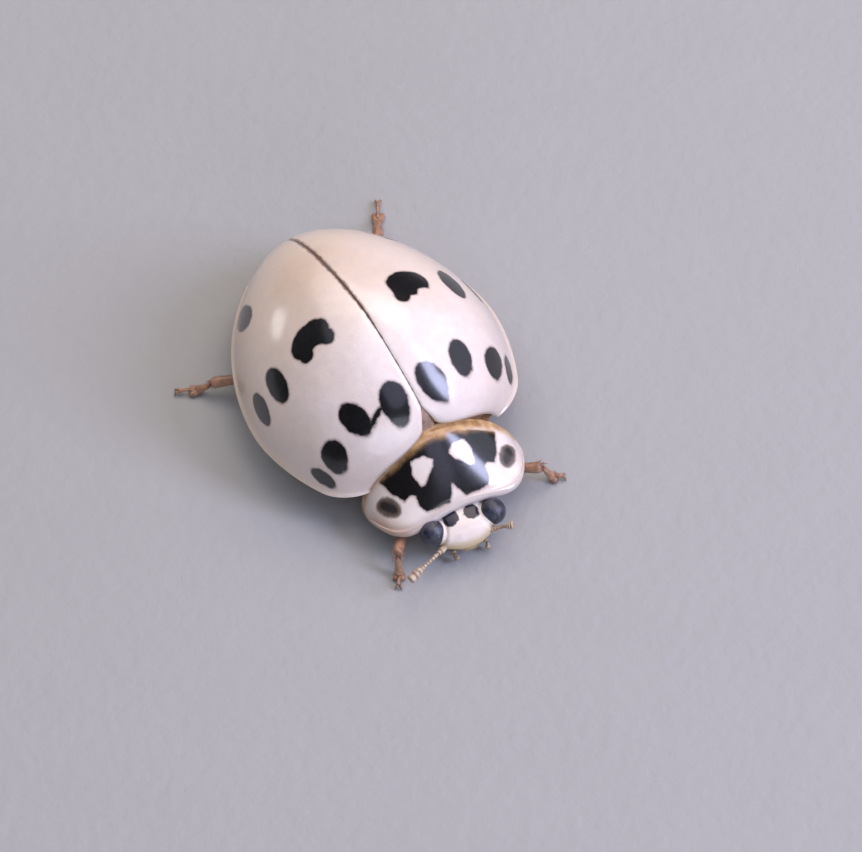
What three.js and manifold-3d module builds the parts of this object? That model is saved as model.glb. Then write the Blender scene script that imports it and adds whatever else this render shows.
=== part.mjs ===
// Ashy grey lady beetle (Olla v-nigrum, pale form): a life-size still model standing on six feet.
// Millimetres, +Z up, head towards -Y, the beetle's right side towards -X, soles on z = 0.
// The origin is the centre of the footprint of the whole model's box.
import * as THREE from "three";
import { mergeVertices } from "three/addons/utils/BufferGeometryUtils.js";
import Module from "manifold-3d";

const wasm = await Module();
wasm.setup();

// Wing cases (elytra): one dome, parted along the suture.
const DOME_HALF_WIDTH = 2.08;
const DOME_HEIGHT = 2.01;
const DOME_REACH_FRONT = 2.71; // where the dome would end if the pronotum didn't cut it short
const DOME_REACH_REAR = 2.78;
const DOME_PLAN_POWER = 1.78; // 2 would make the plan an ellipse
const DOME_POWER_SIDE = 1.7; // roundness of the slope towards each side, the rear and the front
const DOME_POWER_REAR = 1.87;
const DOME_POWER_FRONT = 1.4;
const ELYTRA_FRONT_Y = -1.72;
const RIM_Z = 0.75; // height of the lower edge of the wing cases
const RIM_FLARE = 0.035; // how much wider the rim is than the dome above it, as a share
const RIM_FLARE_HEIGHT = 0.14;
const SHOULDER_RADIUS = 0.4;
const SHOULDER_DROP = 0.5; // how far the crest falls over the shoulders, as a share of their inset
const LEAST_SECTION = 0.03; // smallest half-size of a section drawn in by depth
const SHELL = 0.5; // thickness of the wing cases and the pronotum
const SUTURE = 0.05; // slit between the two wing cases
const GAP = 0.05; // clearance between neighbouring pieces
const SHIELD_CLEARANCE = 0.07; // between the wing cases and the pronotum
const SECTIONS = 18; // sections along the body
const ARC_STEPS = 10; // steps from the suture to the rim

// Trunk inside the wing cases.
const TRUNK_FRONT_Y = -1.55;
const WAIST_Y = 0.62; // where the thorax meets the abdomen
const BELLY_DEPTH = 0.36; // how far the belly hangs below the rim
const BELLY_INSET = 0.26; // how far the belly stops short of the dome's edge
const BELLY_END_Y = 2.62;
const BELLY_STEPS = 8;
const CORE_END = 0.12; // room left inside the rear tip of the wing cases
const TRUNK_SECTIONS = 9;

// Pronotum: a shield turned a little towards the beetle's right.
const PRONOTUM_YAW = THREE.MathUtils.degToRad(-7.5);
const PRONOTUM_X = -0.04;
const PRONOTUM_Y = -1.8;
const PRONOTUM_HALF_WIDTH = 1.34;
const PRONOTUM_LENGTH = 1.0;
const PRONOTUM_REAR_Z = 1.53;
const PRONOTUM_FRONT_Z = 0.74;
const PRONOTUM_EDGE_Z = 0.52;
const PRONOTUM_REAR_OVERLAP = 0.07; // reaches in under the wing cases, which trim it
const PRONOTUM_COLUMNS = 14;
const PRONOTUM_ROWS = 6;

// Scutellum: the plate where the wing cases and the pronotum meet.
const SCUTELLUM_TIP_Y = -1.48;
const SCUTELLUM_TIP_Z = 1.9;
const SCUTELLUM_LENGTH = 0.4;
const SCUTELLUM_HALF_WIDTH = 0.17;
const SCUTELLUM_DEPTH = 0.5;
const SCUTELLUM_SLOPE = 0.85; // rise for each millimetre towards its point

// Head: turned further the same way, tucked under the front edge of the pronotum.
const HEAD_YAW = THREE.MathUtils.degToRad(-12);
const HEAD_CENTRE = new THREE.Vector3(-0.21, -2.8, 0.52);
const HEAD_SIZE = new THREE.Vector3(0.62, 0.46, 0.33); // half-width, half-length, half-height
const FACE_CENTRE = new THREE.Vector3(0, -0.22, -0.06); // from the centre of the head
const FACE_SIZE = new THREE.Vector3(0.46, 0.29, 0.23);
const EYE_RADIUS = 0.2;
const EYE_PLACE = new THREE.Vector3(0.52, -0.14, 0.07);
const LABRUM_PLACE = new THREE.Vector3(0, -0.44, -0.2);
const LABRUM_SIZE = new THREE.Vector3(0.26, 0.12, 0.1);
const PALP_PLACE = new THREE.Vector3(0.26, -0.4, -0.32);
const PALP_SIZE = new THREE.Vector3(0.11, 0.16, 0.1);
const BREAST_CENTRE = new THREE.Vector3(-0.08, -2.1, 0.62); // the prosternum, between the forelegs
const BREAST_SIZE = new THREE.Vector3(0.8, 0.5, 0.36);

const FEELER_THICKNESS = 0.45;
const CLUB_THICKNESS = 0.5;
const FEELERS = {
  right: {
    root: [-0.74, -3.02, 0.42],
    bend: [-0.98, -3.17, 0.5],
    club: [-1.25, -3.28, 0.55],
    tip: [-1.53, -3.38, 0.57],
  },
  left: {
    root: [0.16, -3.06, 0.44],
    bend: [0.22, -3.22, 0.5],
    club: [0.3, -3.38, 0.58],
    tip: [0.4, -3.56, 0.7],
  },
};

// Legs: hip, knee, ankle and toe of each, with the ankle above the sole it carries.
const FEMUR_THICKNESS = 0.5;
const TIBIA_THICKNESS = 0.46;
const TARSUS_WIDTH = 0.48;
const TARSUS_HEIGHT = 0.3;
const TOE_HEIGHT = 0.14;
const COXA_RADIUS = 0.25;
const LEG_SIDES = 8;
const LEGS = {
  front_right: legPath([-0.42, -1.82, 0.44], [-1.02, -2.36, 0.46], [-1.33, -2.78, 0.3], [-1.56, -3.08, 0]),
  front_left: legPath([0.34, -1.88, 0.44], [0.98, -2.42, 0.46], [1.32, -2.72, 0.3], [1.62, -2.9, 0]),
  middle_right: legPath([-0.7, -0.62, 0.44], [-1.86, 0.52, 0.42], [-1.84, 0.0, 0.3], [-1.6, -0.3, 0]),
  middle_left: legPath([0.7, -0.62, 0.44], [2.12, 0.08, 0.42], [2.02, 0.84, 0.3], [1.86, 1.26, 0]),
  hind_right: legPath([-0.6, 0.42, 0.44], [-1.46, 1.2, 0.44], [-2.14, 1.68, 0.3], [-2.6, 1.97, 0]),
  hind_left: legPath([0.6, 0.42, 0.44], [1.1, 1.62, 0.44], [1.62, 2.66, 0.3], [1.95, 3.18, 0]),
};

const COLOUR = {
  elytra: 0xe9ddd2,
  pronotum: 0xefe6dc,
  head: 0xf0e6d2,
  leg: 0xb0703c,
  belly: 0x8a5a38,
  eye: 0x3c4460,
};

// The joints of a leg, from the body to the ground.
function legPath(hip, knee, ankle, toe) {
  return { hip, knee, ankle, toe };
}

// ---- solids ----

// A closed three.js geometry as a solid, moved by an optional matrix.
function solidOf(geometry, matrix) {
  const bare = new THREE.BufferGeometry();
  bare.setAttribute("position", geometry.getAttribute("position").clone());
  bare.setIndex(geometry.index);
  if (matrix) bare.applyMatrix4(matrix);
  const merged = mergeVertices(bare, 1e-5);
  const corners = merged.index.array;
  const kept = [];
  for (let i = 0; i < corners.length; i += 3) {
    const [a, b, c] = [corners[i], corners[i + 1], corners[i + 2]];
    if (a !== b && b !== c && a !== c) kept.push(a, b, c);
  }
  return new wasm.Manifold(
    new wasm.Mesh({
      numProp: 3,
      vertProperties: merged.getAttribute("position").array,
      triVerts: new Uint32Array(kept),
    }),
  );
}

function geometryOf(solid) {
  const mesh = solid.getMesh();
  const geometry = new THREE.BufferGeometry();
  geometry.setAttribute("position", new THREE.BufferAttribute(mesh.vertProperties, 3));
  geometry.setIndex(new THREE.BufferAttribute(mesh.triVerts, 1));
  geometry.computeVertexNormals();
  return geometry;
}

// The largest of the pieces that a cut leaves.
function mainBody(solid) {
  const bodies = solid.decompose();
  bodies.sort((a, b) => b.volume() - a.volume());
  return bodies[0];
}

function cutBy(solid, others) {
  return mainBody(others.reduce((rest, other) => rest.subtract(other), solid));
}

// Rings of the same number of points joined into one closed skin, each end drawn to a point.
function loftGeometry(rings, startPoint, endPoint) {
  const count = rings[0].length;
  const points = [startPoint, ...rings.flat(), endPoint];
  const faces = [];
  for (let i = 0; i < count; i++) {
    const next = (i + 1) % count;
    faces.push(0, 1 + next, 1 + i);
    for (let r = 0; r < rings.length - 1; r++) {
      const low = 1 + r * count;
      const high = low + count;
      faces.push(low + i, low + next, high + next, low + i, high + next, high + i);
    }
    const last = 1 + (rings.length - 1) * count;
    faces.push(points.length - 1, last + i, last + next);
  }
  const geometry = new THREE.BufferGeometry().setFromPoints(points);
  geometry.setIndex(faces);
  return geometry;
}

function ringCentre(ring) {
  const centre = new THREE.Vector3();
  ring.forEach((point) => centre.add(point));
  return centre.divideScalar(ring.length);
}

function ellipsoid(centre, size, yaw = 0, grow = 0, sides = 10) {
  const matrix = new THREE.Matrix4().compose(
    centre,
    new THREE.Quaternion().setFromAxisAngle(new THREE.Vector3(0, 0, 1), yaw),
    size.clone().addScalar(grow),
  );
  return solidOf(new THREE.SphereGeometry(1, sides, Math.round(sides * 0.6)), matrix);
}

// A turned spindle from one point to another; each stop is [share of the length, share of the radius].
function spindle(from, to, thickness, stops, grow = 0) {
  const start = new THREE.Vector3(...from);
  const end = new THREE.Vector3(...to);
  const axis = end.clone().sub(start);
  const length = axis.length();
  axis.normalize();
  const profile = stops.map(
    ([share, radius]) =>
      new THREE.Vector2(
        radius * (thickness / 2) + (radius > 0 ? grow : 0),
        share * length + (share < 0.5 ? -grow : grow),
      ),
  );
  const matrix = new THREE.Matrix4().compose(
    start,
    new THREE.Quaternion().setFromUnitVectors(new THREE.Vector3(0, 1, 0), axis),
    new THREE.Vector3(1, 1, 1),
  );
  return solidOf(new THREE.LatheGeometry(profile, LEG_SIDES), matrix);
}

// ---- wing cases and trunk ----

function domeHalfWidth(y) {
  const reach = y < 0 ? DOME_REACH_FRONT : DOME_REACH_REAR;
  return DOME_HALF_WIDTH * (1 - (Math.abs(y) / reach) ** DOME_PLAN_POWER) ** (1 / DOME_PLAN_POWER);
}

function domeHeight(x, y) {
  const reach = y < 0 ? DOME_REACH_FRONT : DOME_REACH_REAR;
  const across = (Math.abs(x) / DOME_HALF_WIDTH) ** DOME_PLAN_POWER;
  const along = (Math.abs(y) / reach) ** DOME_PLAN_POWER;
  const outward = Math.min(1, across + along);
  if (outward === 0) return DOME_HEIGHT;
  const endPower = y < 0 ? DOME_POWER_FRONT : DOME_POWER_REAR;
  const power = DOME_POWER_SIDE + ((endPower - DOME_POWER_SIDE) * along) / (across + along);
  return DOME_HEIGHT * (1 - outward ** (power / DOME_PLAN_POWER)) ** (1 / power);
}

// One point of the dome's cross-section: turn runs from 0 at the crest to 1 at the rim.
// The section is drawn in by depth, and rounded off over the shoulders.
function domePoint(y, turn, depth) {
  const halfWidth = domeHalfWidth(y);
  const x = halfWidth * Math.sin((turn * Math.PI) / 2);
  const z = domeHeight(x, y);
  const crest = domeHeight(0, y);
  const past = THREE.MathUtils.clamp((ELYTRA_FRONT_Y + SHOULDER_RADIUS - y) / SHOULDER_RADIUS, 0, 1);
  const inset = SHOULDER_RADIUS * (1 - Math.sqrt(1 - past * past));
  const flare = 1 + RIM_FLARE * Math.exp(-z / RIM_FLARE_HEIGHT);
  const widthShare = Math.max(LEAST_SECTION, halfWidth - inset - depth) / halfWidth;
  const heightShare = Math.max(LEAST_SECTION, crest - SHOULDER_DROP * inset - depth) / crest;
  return new THREE.Vector3(x * widthShare * flare, y * flare, z * heightShare + RIM_Z);
}

// Places of the sections along the body, closer together towards both ends.
function stations(from, to, count) {
  return Array.from(
    { length: count + 1 },
    (_, i) => (from + to) / 2 - ((to - from) / 2) * Math.cos((Math.PI * i) / count),
  );
}

function elytron(side, grow = 0) {
  const rings = stations(ELYTRA_FRONT_Y - grow, DOME_REACH_REAR - 0.02, SECTIONS).map((y) => {
    const outer = [];
    const inner = [];
    for (let i = 0; i <= ARC_STEPS; i++) {
      outer.push(domePoint(y, i / ARC_STEPS, -grow));
      inner.unshift(domePoint(y, i / ARC_STEPS, SHELL + grow));
    }
    return [...outer, ...inner];
  });
  rings.flat().forEach((point) => {
    point.x += SUTURE / 2;
  });
  const tip = new THREE.Vector3(SUTURE / 2 + 0.03, DOME_REACH_REAR * (1 + RIM_FLARE), RIM_Z + 0.03);
  const halfShell = solidOf(loftGeometry(rings, ringCentre(rings[0]), tip));
  return side === "left" ? halfShell : halfShell.mirror([1, 0, 0]);
}

// The part of the body between two places along it: a core inside the wing cases,
// and the belly, which spreads out under their rim.
function trunk(from, to) {
  const coreTo = Math.min(to, DOME_REACH_REAR - SHELL - CORE_END);
  const core = stations(from, coreTo, TRUNK_SECTIONS).map((y) => {
    const ring = [];
    for (let i = -ARC_STEPS; i <= ARC_STEPS; i++) {
      const point = domePoint(y, Math.abs(i) / ARC_STEPS, SHELL + GAP);
      ring.push(new THREE.Vector3(Math.sign(i) * point.x, y, point.z));
    }
    const edge = ring[ring.length - 1].x;
    ring.push(new THREE.Vector3(edge, y, RIM_Z - 2 * GAP), new THREE.Vector3(-edge, y, RIM_Z - 2 * GAP));
    return ring;
  });
  const belly = stations(from, to, TRUNK_SECTIONS).map((y) => {
    const halfWidth = Math.max(0.1, domePoint(y, 1, BELLY_INSET).x);
    const depth = BELLY_DEPTH * Math.min(1, halfWidth / (DOME_HALF_WIDTH - BELLY_INSET)) ** 0.7;
    const ring = [];
    for (let i = 0; i <= BELLY_STEPS; i++) {
      const turn = (Math.PI * i) / BELLY_STEPS;
      const drop = GAP + depth * Math.sin(turn) ** 0.7;
      ring.push(new THREE.Vector3(halfWidth * Math.cos(turn), y, RIM_Z - drop));
    }
    return ring;
  });
  const [upper, lower] = [core, belly].map((rings) =>
    solidOf(loftGeometry(rings, ringCentre(rings[0]), ringCentre(rings[rings.length - 1]))),
  );
  return upper.add(lower);
}

// ---- pronotum and scutellum ----

// Height of the shield over a place u across and s = 0 at the rear edge to 1 at the front.
function pronotumTop(u, s) {
  const crest = PRONOTUM_REAR_Z - 0.58 * s - (PRONOTUM_REAR_Z - PRONOTUM_FRONT_Z - 0.58) * s * s;
  const edge = PRONOTUM_EDGE_Z - 0.08 * s;
  const outward = Math.min(1, Math.abs(u) / PRONOTUM_HALF_WIDTH);
  return edge + (crest - edge) * Math.max(0, 1 - outward ** 1.9) ** 0.9;
}

function pronotumGeometry(grow) {
  const halfWidth = PRONOTUM_HALF_WIDTH + grow;
  const upper = [];
  const lower = [];
  for (let c = 0; c <= PRONOTUM_COLUMNS; c++) {
    const outward = Math.sin(Math.PI * (c / PRONOTUM_COLUMNS - 0.5));
    const u = halfWidth * outward;
    const a = Math.abs(outward);
    const rear = PRONOTUM_REAR_OVERLAP - 0.34 * a ** 6 + grow;
    const front = -PRONOTUM_LENGTH - 0.08 * Math.sin(Math.PI * a * a) + 0.42 * a ** 8 - grow;
    for (let r = 0; r <= PRONOTUM_ROWS; r++) {
      const v = rear + (front - rear) * (r / PRONOTUM_ROWS);
      const z = pronotumTop(u, -v / PRONOTUM_LENGTH);
      const thick = SHELL * (1 - 0.5 * a ** 3);
      upper.push(new THREE.Vector3(u, v, z + grow));
      lower.push(new THREE.Vector3(u * 0.97, v * 0.98, z - thick - grow));
    }
  }
  return sheetGeometry(upper, lower, PRONOTUM_COLUMNS + 1, PRONOTUM_ROWS + 1);
}

// Two like grids of points, one above the other, closed all round into a thick sheet.
function sheetGeometry(upper, lower, columns, rows) {
  const faces = [];
  const under = upper.length;
  const quad = (a, b, c, d) => faces.push(a, b, c, a, c, d);
  for (let c = 0; c < columns - 1; c++) {
    for (let r = 0; r < rows - 1; r++) {
      const a = c * rows + r;
      quad(a, a + 1, a + 1 + rows, a + rows);
      quad(under + a, under + a + rows, under + a + 1 + rows, under + a + 1);
    }
  }
  const border = [];
  for (let c = 0; c < columns - 1; c++) border.push(c * rows);
  for (let r = 0; r < rows - 1; r++) border.push((columns - 1) * rows + r);
  for (let c = columns - 1; c > 0; c--) border.push(c * rows + rows - 1);
  for (let r = rows - 1; r > 0; r--) border.push(r);
  border.forEach((a, i) => {
    const b = border[(i + 1) % border.length];
    quad(a, b, under + b, under + a);
  });
  const geometry = new THREE.BufferGeometry().setFromPoints([...upper, ...lower]);
  geometry.setIndex(faces);
  return geometry;
}

function placed(origin, yaw) {
  return new THREE.Matrix4().makeRotationZ(yaw).setPosition(origin);
}

function pronotum(grow = 0) {
  const matrix = placed(new THREE.Vector3(PRONOTUM_X, PRONOTUM_Y, 0), PRONOTUM_YAW);
  return solidOf(pronotumGeometry(grow), matrix);
}

// A small triangular plate between the wing cases and the pronotum, its point to the rear.
function scutellum(grow = 0) {
  const halfWidth = SCUTELLUM_HALF_WIDTH + grow;
  const outline = new THREE.Shape();
  outline.moveTo(-halfWidth, -SCUTELLUM_LENGTH - grow);
  outline.lineTo(halfWidth, -SCUTELLUM_LENGTH - grow);
  outline.lineTo(halfWidth, -0.7 * SCUTELLUM_LENGTH);
  outline.lineTo(0, 2 * grow);
  outline.lineTo(-halfWidth, -0.7 * SCUTELLUM_LENGTH);
  const depth = SCUTELLUM_DEPTH + 2 * grow;
  const slab = new THREE.ExtrudeGeometry(outline, { depth, bevelEnabled: false });
  const slope = new THREE.Matrix4().set(1, 0, 0, 0, 0, 1, 0, 0, 0, SCUTELLUM_SLOPE, 1, 0, 0, 0, 0, 1);
  const tip = new THREE.Vector3(0, SCUTELLUM_TIP_Y, SCUTELLUM_TIP_Z - SCUTELLUM_DEPTH - grow);
  return solidOf(slab, new THREE.Matrix4().setPosition(tip).multiply(slope));
}

// ---- head ----

function headPlace(offset, side = 1) {
  const place = new THREE.Vector3(offset.x * side, offset.y, offset.z);
  return place.applyAxisAngle(new THREE.Vector3(0, 0, 1), HEAD_YAW).add(HEAD_CENTRE);
}

function eye(side, grow = 0) {
  const size = new THREE.Vector3(EYE_RADIUS * 0.85, EYE_RADIUS, EYE_RADIUS * 1.05);
  return ellipsoid(headPlace(EYE_PLACE, side), size, HEAD_YAW, grow);
}

function head(grow = 0) {
  const skull = ellipsoid(HEAD_CENTRE, HEAD_SIZE, HEAD_YAW, grow, 14);
  return skull.add(ellipsoid(headPlace(FACE_CENTRE), FACE_SIZE, HEAD_YAW, grow, 12));
}

function labrum(grow = 0) {
  return ellipsoid(headPlace(LABRUM_PLACE), LABRUM_SIZE, HEAD_YAW, grow);
}

function palp(side, grow = 0) {
  return ellipsoid(headPlace(PALP_PLACE, side), PALP_SIZE, HEAD_YAW, grow);
}

function feelerStem(points, grow = 0) {
  const stops = [points.root, points.bend, points.club].map((place) => new THREE.Vector3(...place));
  const path = new THREE.CatmullRomCurve3(stops);
  const radius = FEELER_THICKNESS / 2 + grow;
  const section = new THREE.Shape();
  section.absellipse(0, 0, radius, radius, 0, 2 * Math.PI);
  return solidOf(new THREE.ExtrudeGeometry(section, { steps: 4, extrudePath: path, curveSegments: 2 }));
}

function feelerClub(points, grow = 0) {
  const stops = [[0, 0], [0.04, 0.75], [0.4, 1], [0.8, 0.8], [1, 0]];
  return spindle(points.club, points.tip, CLUB_THICKNESS, stops, grow);
}

// ---- legs ----

function coxa(leg, grow = 0) {
  const size = new THREE.Vector3(COXA_RADIUS * 1.15, COXA_RADIUS, COXA_RADIUS);
  return ellipsoid(new THREE.Vector3(...leg.hip), size, 0, grow);
}

function femur(leg, grow = 0) {
  const stops = [[0, 0], [0.03, 0.7], [0.25, 0.96], [0.55, 1], [0.85, 0.86], [0.97, 0.6], [1, 0]];
  return spindle(leg.hip, leg.knee, FEMUR_THICKNESS, stops, grow);
}

function tibia(leg, grow = 0) {
  const stops = [[0, 0], [0.03, 0.75], [0.3, 0.95], [0.8, 1], [0.98, 0.8], [1, 0]];
  return spindle(leg.knee, leg.ankle, TIBIA_THICKNESS, stops, grow);
}

// A flat-soled foot from under the ankle to the toe.
function tarsus(leg, grow = 0) {
  const heel = new THREE.Vector3(leg.ankle[0], leg.ankle[1], 0);
  const toe = new THREE.Vector3(leg.toe[0], leg.toe[1], 0);
  const along = toe.clone().sub(heel);
  const length = along.length() + grow;
  const outline = new THREE.Shape();
  outline.moveTo(-grow, 0);
  outline.lineTo(length, 0);
  outline.lineTo(length, TOE_HEIGHT + grow);
  outline.quadraticCurveTo(length * 0.6, TARSUS_HEIGHT + grow, -grow, TARSUS_HEIGHT + grow);
  const width = TARSUS_WIDTH + 2 * grow;
  const slab = new THREE.ExtrudeGeometry(outline, { depth: width, bevelEnabled: false, curveSegments: 5 });
  slab.translate(0, 0, -width / 2);
  slab.rotateX(Math.PI / 2);
  slab.rotateZ(Math.atan2(along.y, along.x));
  return solidOf(slab, new THREE.Matrix4().makeTranslation(heel.x, heel.y, 0));
}

// ---- assembly ----

const group = new THREE.Group();

function addPiece(name, solid, colour, roughness) {
  const material = new THREE.MeshStandardMaterial({ color: colour, roughness, metalness: 0 });
  const mesh = new THREE.Mesh(geometryOf(mainBody(solid)), material);
  mesh.name = name;
  group.add(mesh);
  return solid;
}

const legs = Object.entries(LEGS);
const sides = ["right", "left"];
const shield = pronotum(GAP);
const wingCases = sides.map((side) => elytron(side, SHIELD_CLEARANCE));
sides.forEach((side) => {
  addPiece("elytron_" + side, cutBy(elytron(side), [scutellum(GAP)]), COLOUR.elytra, 0.25);
});
addPiece("pronotum", cutBy(pronotum(), wingCases), COLOUR.pronotum, 0.25);
addPiece("scutellum", cutBy(scutellum(), [shield]), COLOUR.elytra, 0.35);

const feet = legs.map(([, leg]) => tarsus(leg, GAP));
const shanks = legs.map(([, leg]) => tibia(leg, GAP));
const thighs = legs.map(([, leg]) => femur(leg, GAP));
const hips = legs.map(([, leg]) => coxa(leg, GAP));
const eyes = [-1, 1].map((side) => eye(side, GAP));
const feelers = Object.values(FEELERS).flatMap((path) => [feelerStem(path, GAP), feelerClub(path, GAP)]);
const allLegs = [...hips, ...thighs, ...shanks, ...feet];

legs.forEach(([name, leg], i) => {
  addPiece("coxa_" + name, coxa(leg), COLOUR.leg, 0.4);
  addPiece("femur_" + name, cutBy(femur(leg), [hips[i], shield]), COLOUR.leg, 0.4);
  addPiece("tibia_" + name, cutBy(tibia(leg), [thighs[i], shield]), COLOUR.leg, 0.4);
  addPiece("tarsus_" + name, cutBy(tarsus(leg), [shanks[i], thighs[i]]), COLOUR.leg, 0.5);
});

const thoraxSolid = trunk(TRUNK_FRONT_Y, WAIST_Y - GAP / 2);
const abdomenSolid = trunk(WAIST_Y + GAP / 2, BELLY_END_Y);
addPiece("thorax", cutBy(thoraxSolid, [...allLegs, shield, scutellum(GAP)]), COLOUR.belly, 0.5);
addPiece("abdomen", cutBy(abdomenSolid, allLegs), COLOUR.belly, 0.5);
const breast = ellipsoid(BREAST_CENTRE, BREAST_SIZE, PRONOTUM_YAW);
const breastCutters = [...allLegs, shield, head(GAP), trunk(TRUNK_FRONT_Y - GAP, WAIST_Y)];
addPiece("prosternum", cutBy(breast, breastCutters), COLOUR.belly, 0.5);
const headCutters = [shield, ...eyes, labrum(GAP), palp(1, GAP), palp(-1, GAP), ...feelers];
addPiece("head", cutBy(head(), headCutters), COLOUR.head, 0.3);
addPiece("labrum", labrum(), COLOUR.head, 0.3);
[["right", -1], ["left", 1]].forEach(([side, sign]) => {
  const points = FEELERS[side];
  addPiece("eye_" + side, cutBy(eye(sign), [shield]), COLOUR.eye, 0.2);
  addPiece("palp_" + side, cutBy(palp(sign), [labrum(GAP)]), COLOUR.leg, 0.4);
  addPiece("antenna_" + side, cutBy(feelerStem(points), [...eyes, shield]), COLOUR.leg, 0.4);
  addPiece("antenna_club_" + side, cutBy(feelerClub(points), [feelerStem(points, GAP)]), COLOUR.leg, 0.4);
});

const box = new THREE.Box3().setFromObject(group);
group.position.set(-(box.min.x + box.max.x) / 2, -(box.min.y + box.max.y) / 2, 0);

export default group;
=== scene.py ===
import math
from collections import namedtuple

import bmesh
import bpy
import numpy as np
from mathutils import Matrix, Quaternion, Vector


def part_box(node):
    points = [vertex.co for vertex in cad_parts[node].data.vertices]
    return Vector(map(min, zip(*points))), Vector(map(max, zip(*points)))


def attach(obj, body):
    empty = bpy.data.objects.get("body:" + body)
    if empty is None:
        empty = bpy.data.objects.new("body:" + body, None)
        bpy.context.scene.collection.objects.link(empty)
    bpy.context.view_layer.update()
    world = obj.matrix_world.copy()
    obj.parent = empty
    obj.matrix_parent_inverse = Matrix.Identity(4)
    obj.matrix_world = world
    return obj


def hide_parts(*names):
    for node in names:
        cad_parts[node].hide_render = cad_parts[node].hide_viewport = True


bl_info = {
    "name": "Ashy Grey Lady Beetle",
    "version": (1, 0, 0),
    "blender": (4, 5, 0),
    "location": "3D View > Sidebar > Lady Beetle",
    "description": "Wing cases, shield, head, feelers, legs and underside of a life-size lady beetle",
    "category": "Add Mesh",
}

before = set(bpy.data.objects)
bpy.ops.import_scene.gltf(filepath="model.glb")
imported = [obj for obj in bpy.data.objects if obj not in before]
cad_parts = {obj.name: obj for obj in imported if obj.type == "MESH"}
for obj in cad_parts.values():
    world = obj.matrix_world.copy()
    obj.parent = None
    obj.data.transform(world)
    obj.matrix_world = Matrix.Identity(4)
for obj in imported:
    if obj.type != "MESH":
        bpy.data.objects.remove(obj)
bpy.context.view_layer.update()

MM = 0.001
RIGHT, LEFT = -1, 1  # the beetle's own sides: its right is towards -X
SIDES = {"right": RIGHT, "left": LEFT}
FAR = 9.0  # a distance, in mm, that is past every mark


# ---- Places, in mm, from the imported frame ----


def node_box(node):
    low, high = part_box(node)
    return np.array(low) / MM, np.array(high) / MM


RIM_FLARE = 0.035  # how much the dome widens at its rim, as a share
REACH_FRONT = 2.71  # from the widest section forward to where the dome would end
REACH_REAR = 2.78
WING_LOW, WING_HIGH = node_box("elytron_left")
SEAM_RIGHT = node_box("elytron_right")[1][0]
SLIT_HALF = 0.5 * (WING_LOW[0] - SEAM_RIGHT)
SUTURE_X = 0.5 * (WING_LOW[0] + SEAM_RIGHT)
CENTRE_Y = WING_HIGH[1] - REACH_REAR * (1 + RIM_FLARE)
ORIGIN = np.array([SUTURE_X, CENTRE_Y, 0.0])  # on the floor, under the crest of the dome
RIM_Z = WING_LOW[2]
DOME_HEIGHT = WING_HIGH[2] - RIM_Z
HALF_WIDTH = (WING_HIGH[0] - SUTURE_X - SLIT_HALF) / (1 + RIM_FLARE)
FRONT_Y = (WING_LOW[1] - CENTRE_Y) / (1 + RIM_FLARE)
WAIST_GAP = 0.025  # half the gap between breast and abdomen in the frame
WAIST_Y = node_box("abdomen")[0][1] - CENTRE_Y - WAIST_GAP

SHIELD_YAW = math.radians(-7.5)
SHIELD_PIVOT = np.array([-0.04, -1.8, 0.0])  # middle of the rear edge
SHIELD_HALF_WIDTH = 1.34
SHIELD_LENGTH = 1.0
SHIELD_REAR_Z = node_box("pronotum")[1][2] - 0.04

HEAD_YAW = math.radians(-12)
LABRUM_PLACE = np.array([0, -0.44, -0.2])


def turned(points, yaw):
    """Points turned about the vertical."""
    x, y, z = np.moveaxis(np.asarray(points, float), -1, 0)
    return np.stack([x * math.cos(yaw) - y * math.sin(yaw), x * math.sin(yaw) + y * math.cos(yaw), z], -1)


HEAD_CENTRE = sum(node_box("labrum")) / 2 - ORIGIN - turned(LABRUM_PLACE, HEAD_YAW)


def far_end(node, start, spread=0.04):
    """Middle of the points of a CAD node that are farthest from a start point."""
    points = np.array([v.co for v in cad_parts[node].data.vertices]) / MM - ORIGIN
    away = np.linalg.norm(points - start, axis=1)
    return points[away > away.max() - spread].mean(axis=0)


# ---- Shape helpers ----

FEET_LEVEL = 0.0
HAIR_SIZES = (0.7, 1.25)  # the shortest and longest hairs, as shares of their usual length
HAIR_BEND = 0.12
HAIR_ROOM = 0.01  # hairs end at least this far above the floor


def unit(vector):
    return vector / np.maximum(np.linalg.norm(vector, axis=-1, keepdims=True), 1e-12)


def smooth(value, start, end):
    share = np.clip((value - start) / (end - start), 0, 1)
    return share * share * (3 - 2 * share)


def swell(value, centre, width):
    """A soft bump of height 1."""
    return np.exp(-(((value - centre) / width) ** 2))


def lerp(a, b, share):
    return a + (b - a) * share


def even_but_finer_at_ends(count, strength=0.4):
    share = np.linspace(0, 1, count)
    return (1 - strength) * share + strength * (0.5 - 0.5 * np.cos(math.pi * share))


def grid_normals(grid):
    return unit(np.cross(np.gradient(grid, axis=1), np.gradient(grid, axis=0)))


def grid_faces(rows, columns, start=0, closed=False):
    """Quads of a grid; a closed grid joins its last column to its first."""
    faces = []
    for r in range(rows - 1):
        near, far = start + r * columns, start + (r + 1) * columns
        for c in range(columns if closed else columns - 1):
            d = (c + 1) % columns
            faces.append((near + c, near + d, far + d, far + c))
    return faces


def closed_tube(rings, ends):
    """Points and faces of rings joined into a closed skin, with a point at each end."""
    rows, columns = rings.shape[:2]
    faces = grid_faces(rows, columns, closed=True)
    last = (rows - 1) * columns
    for c in range(columns):
        d = (c + 1) % columns
        faces += [(d, c, rows * columns), (last + c, last + d, rows * columns + 1)]
    return np.concatenate([rings.reshape(-1, 3), ends]), faces


def scaled(stops, radius):
    return [(place, share * radius) for place, share in stops]


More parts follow.
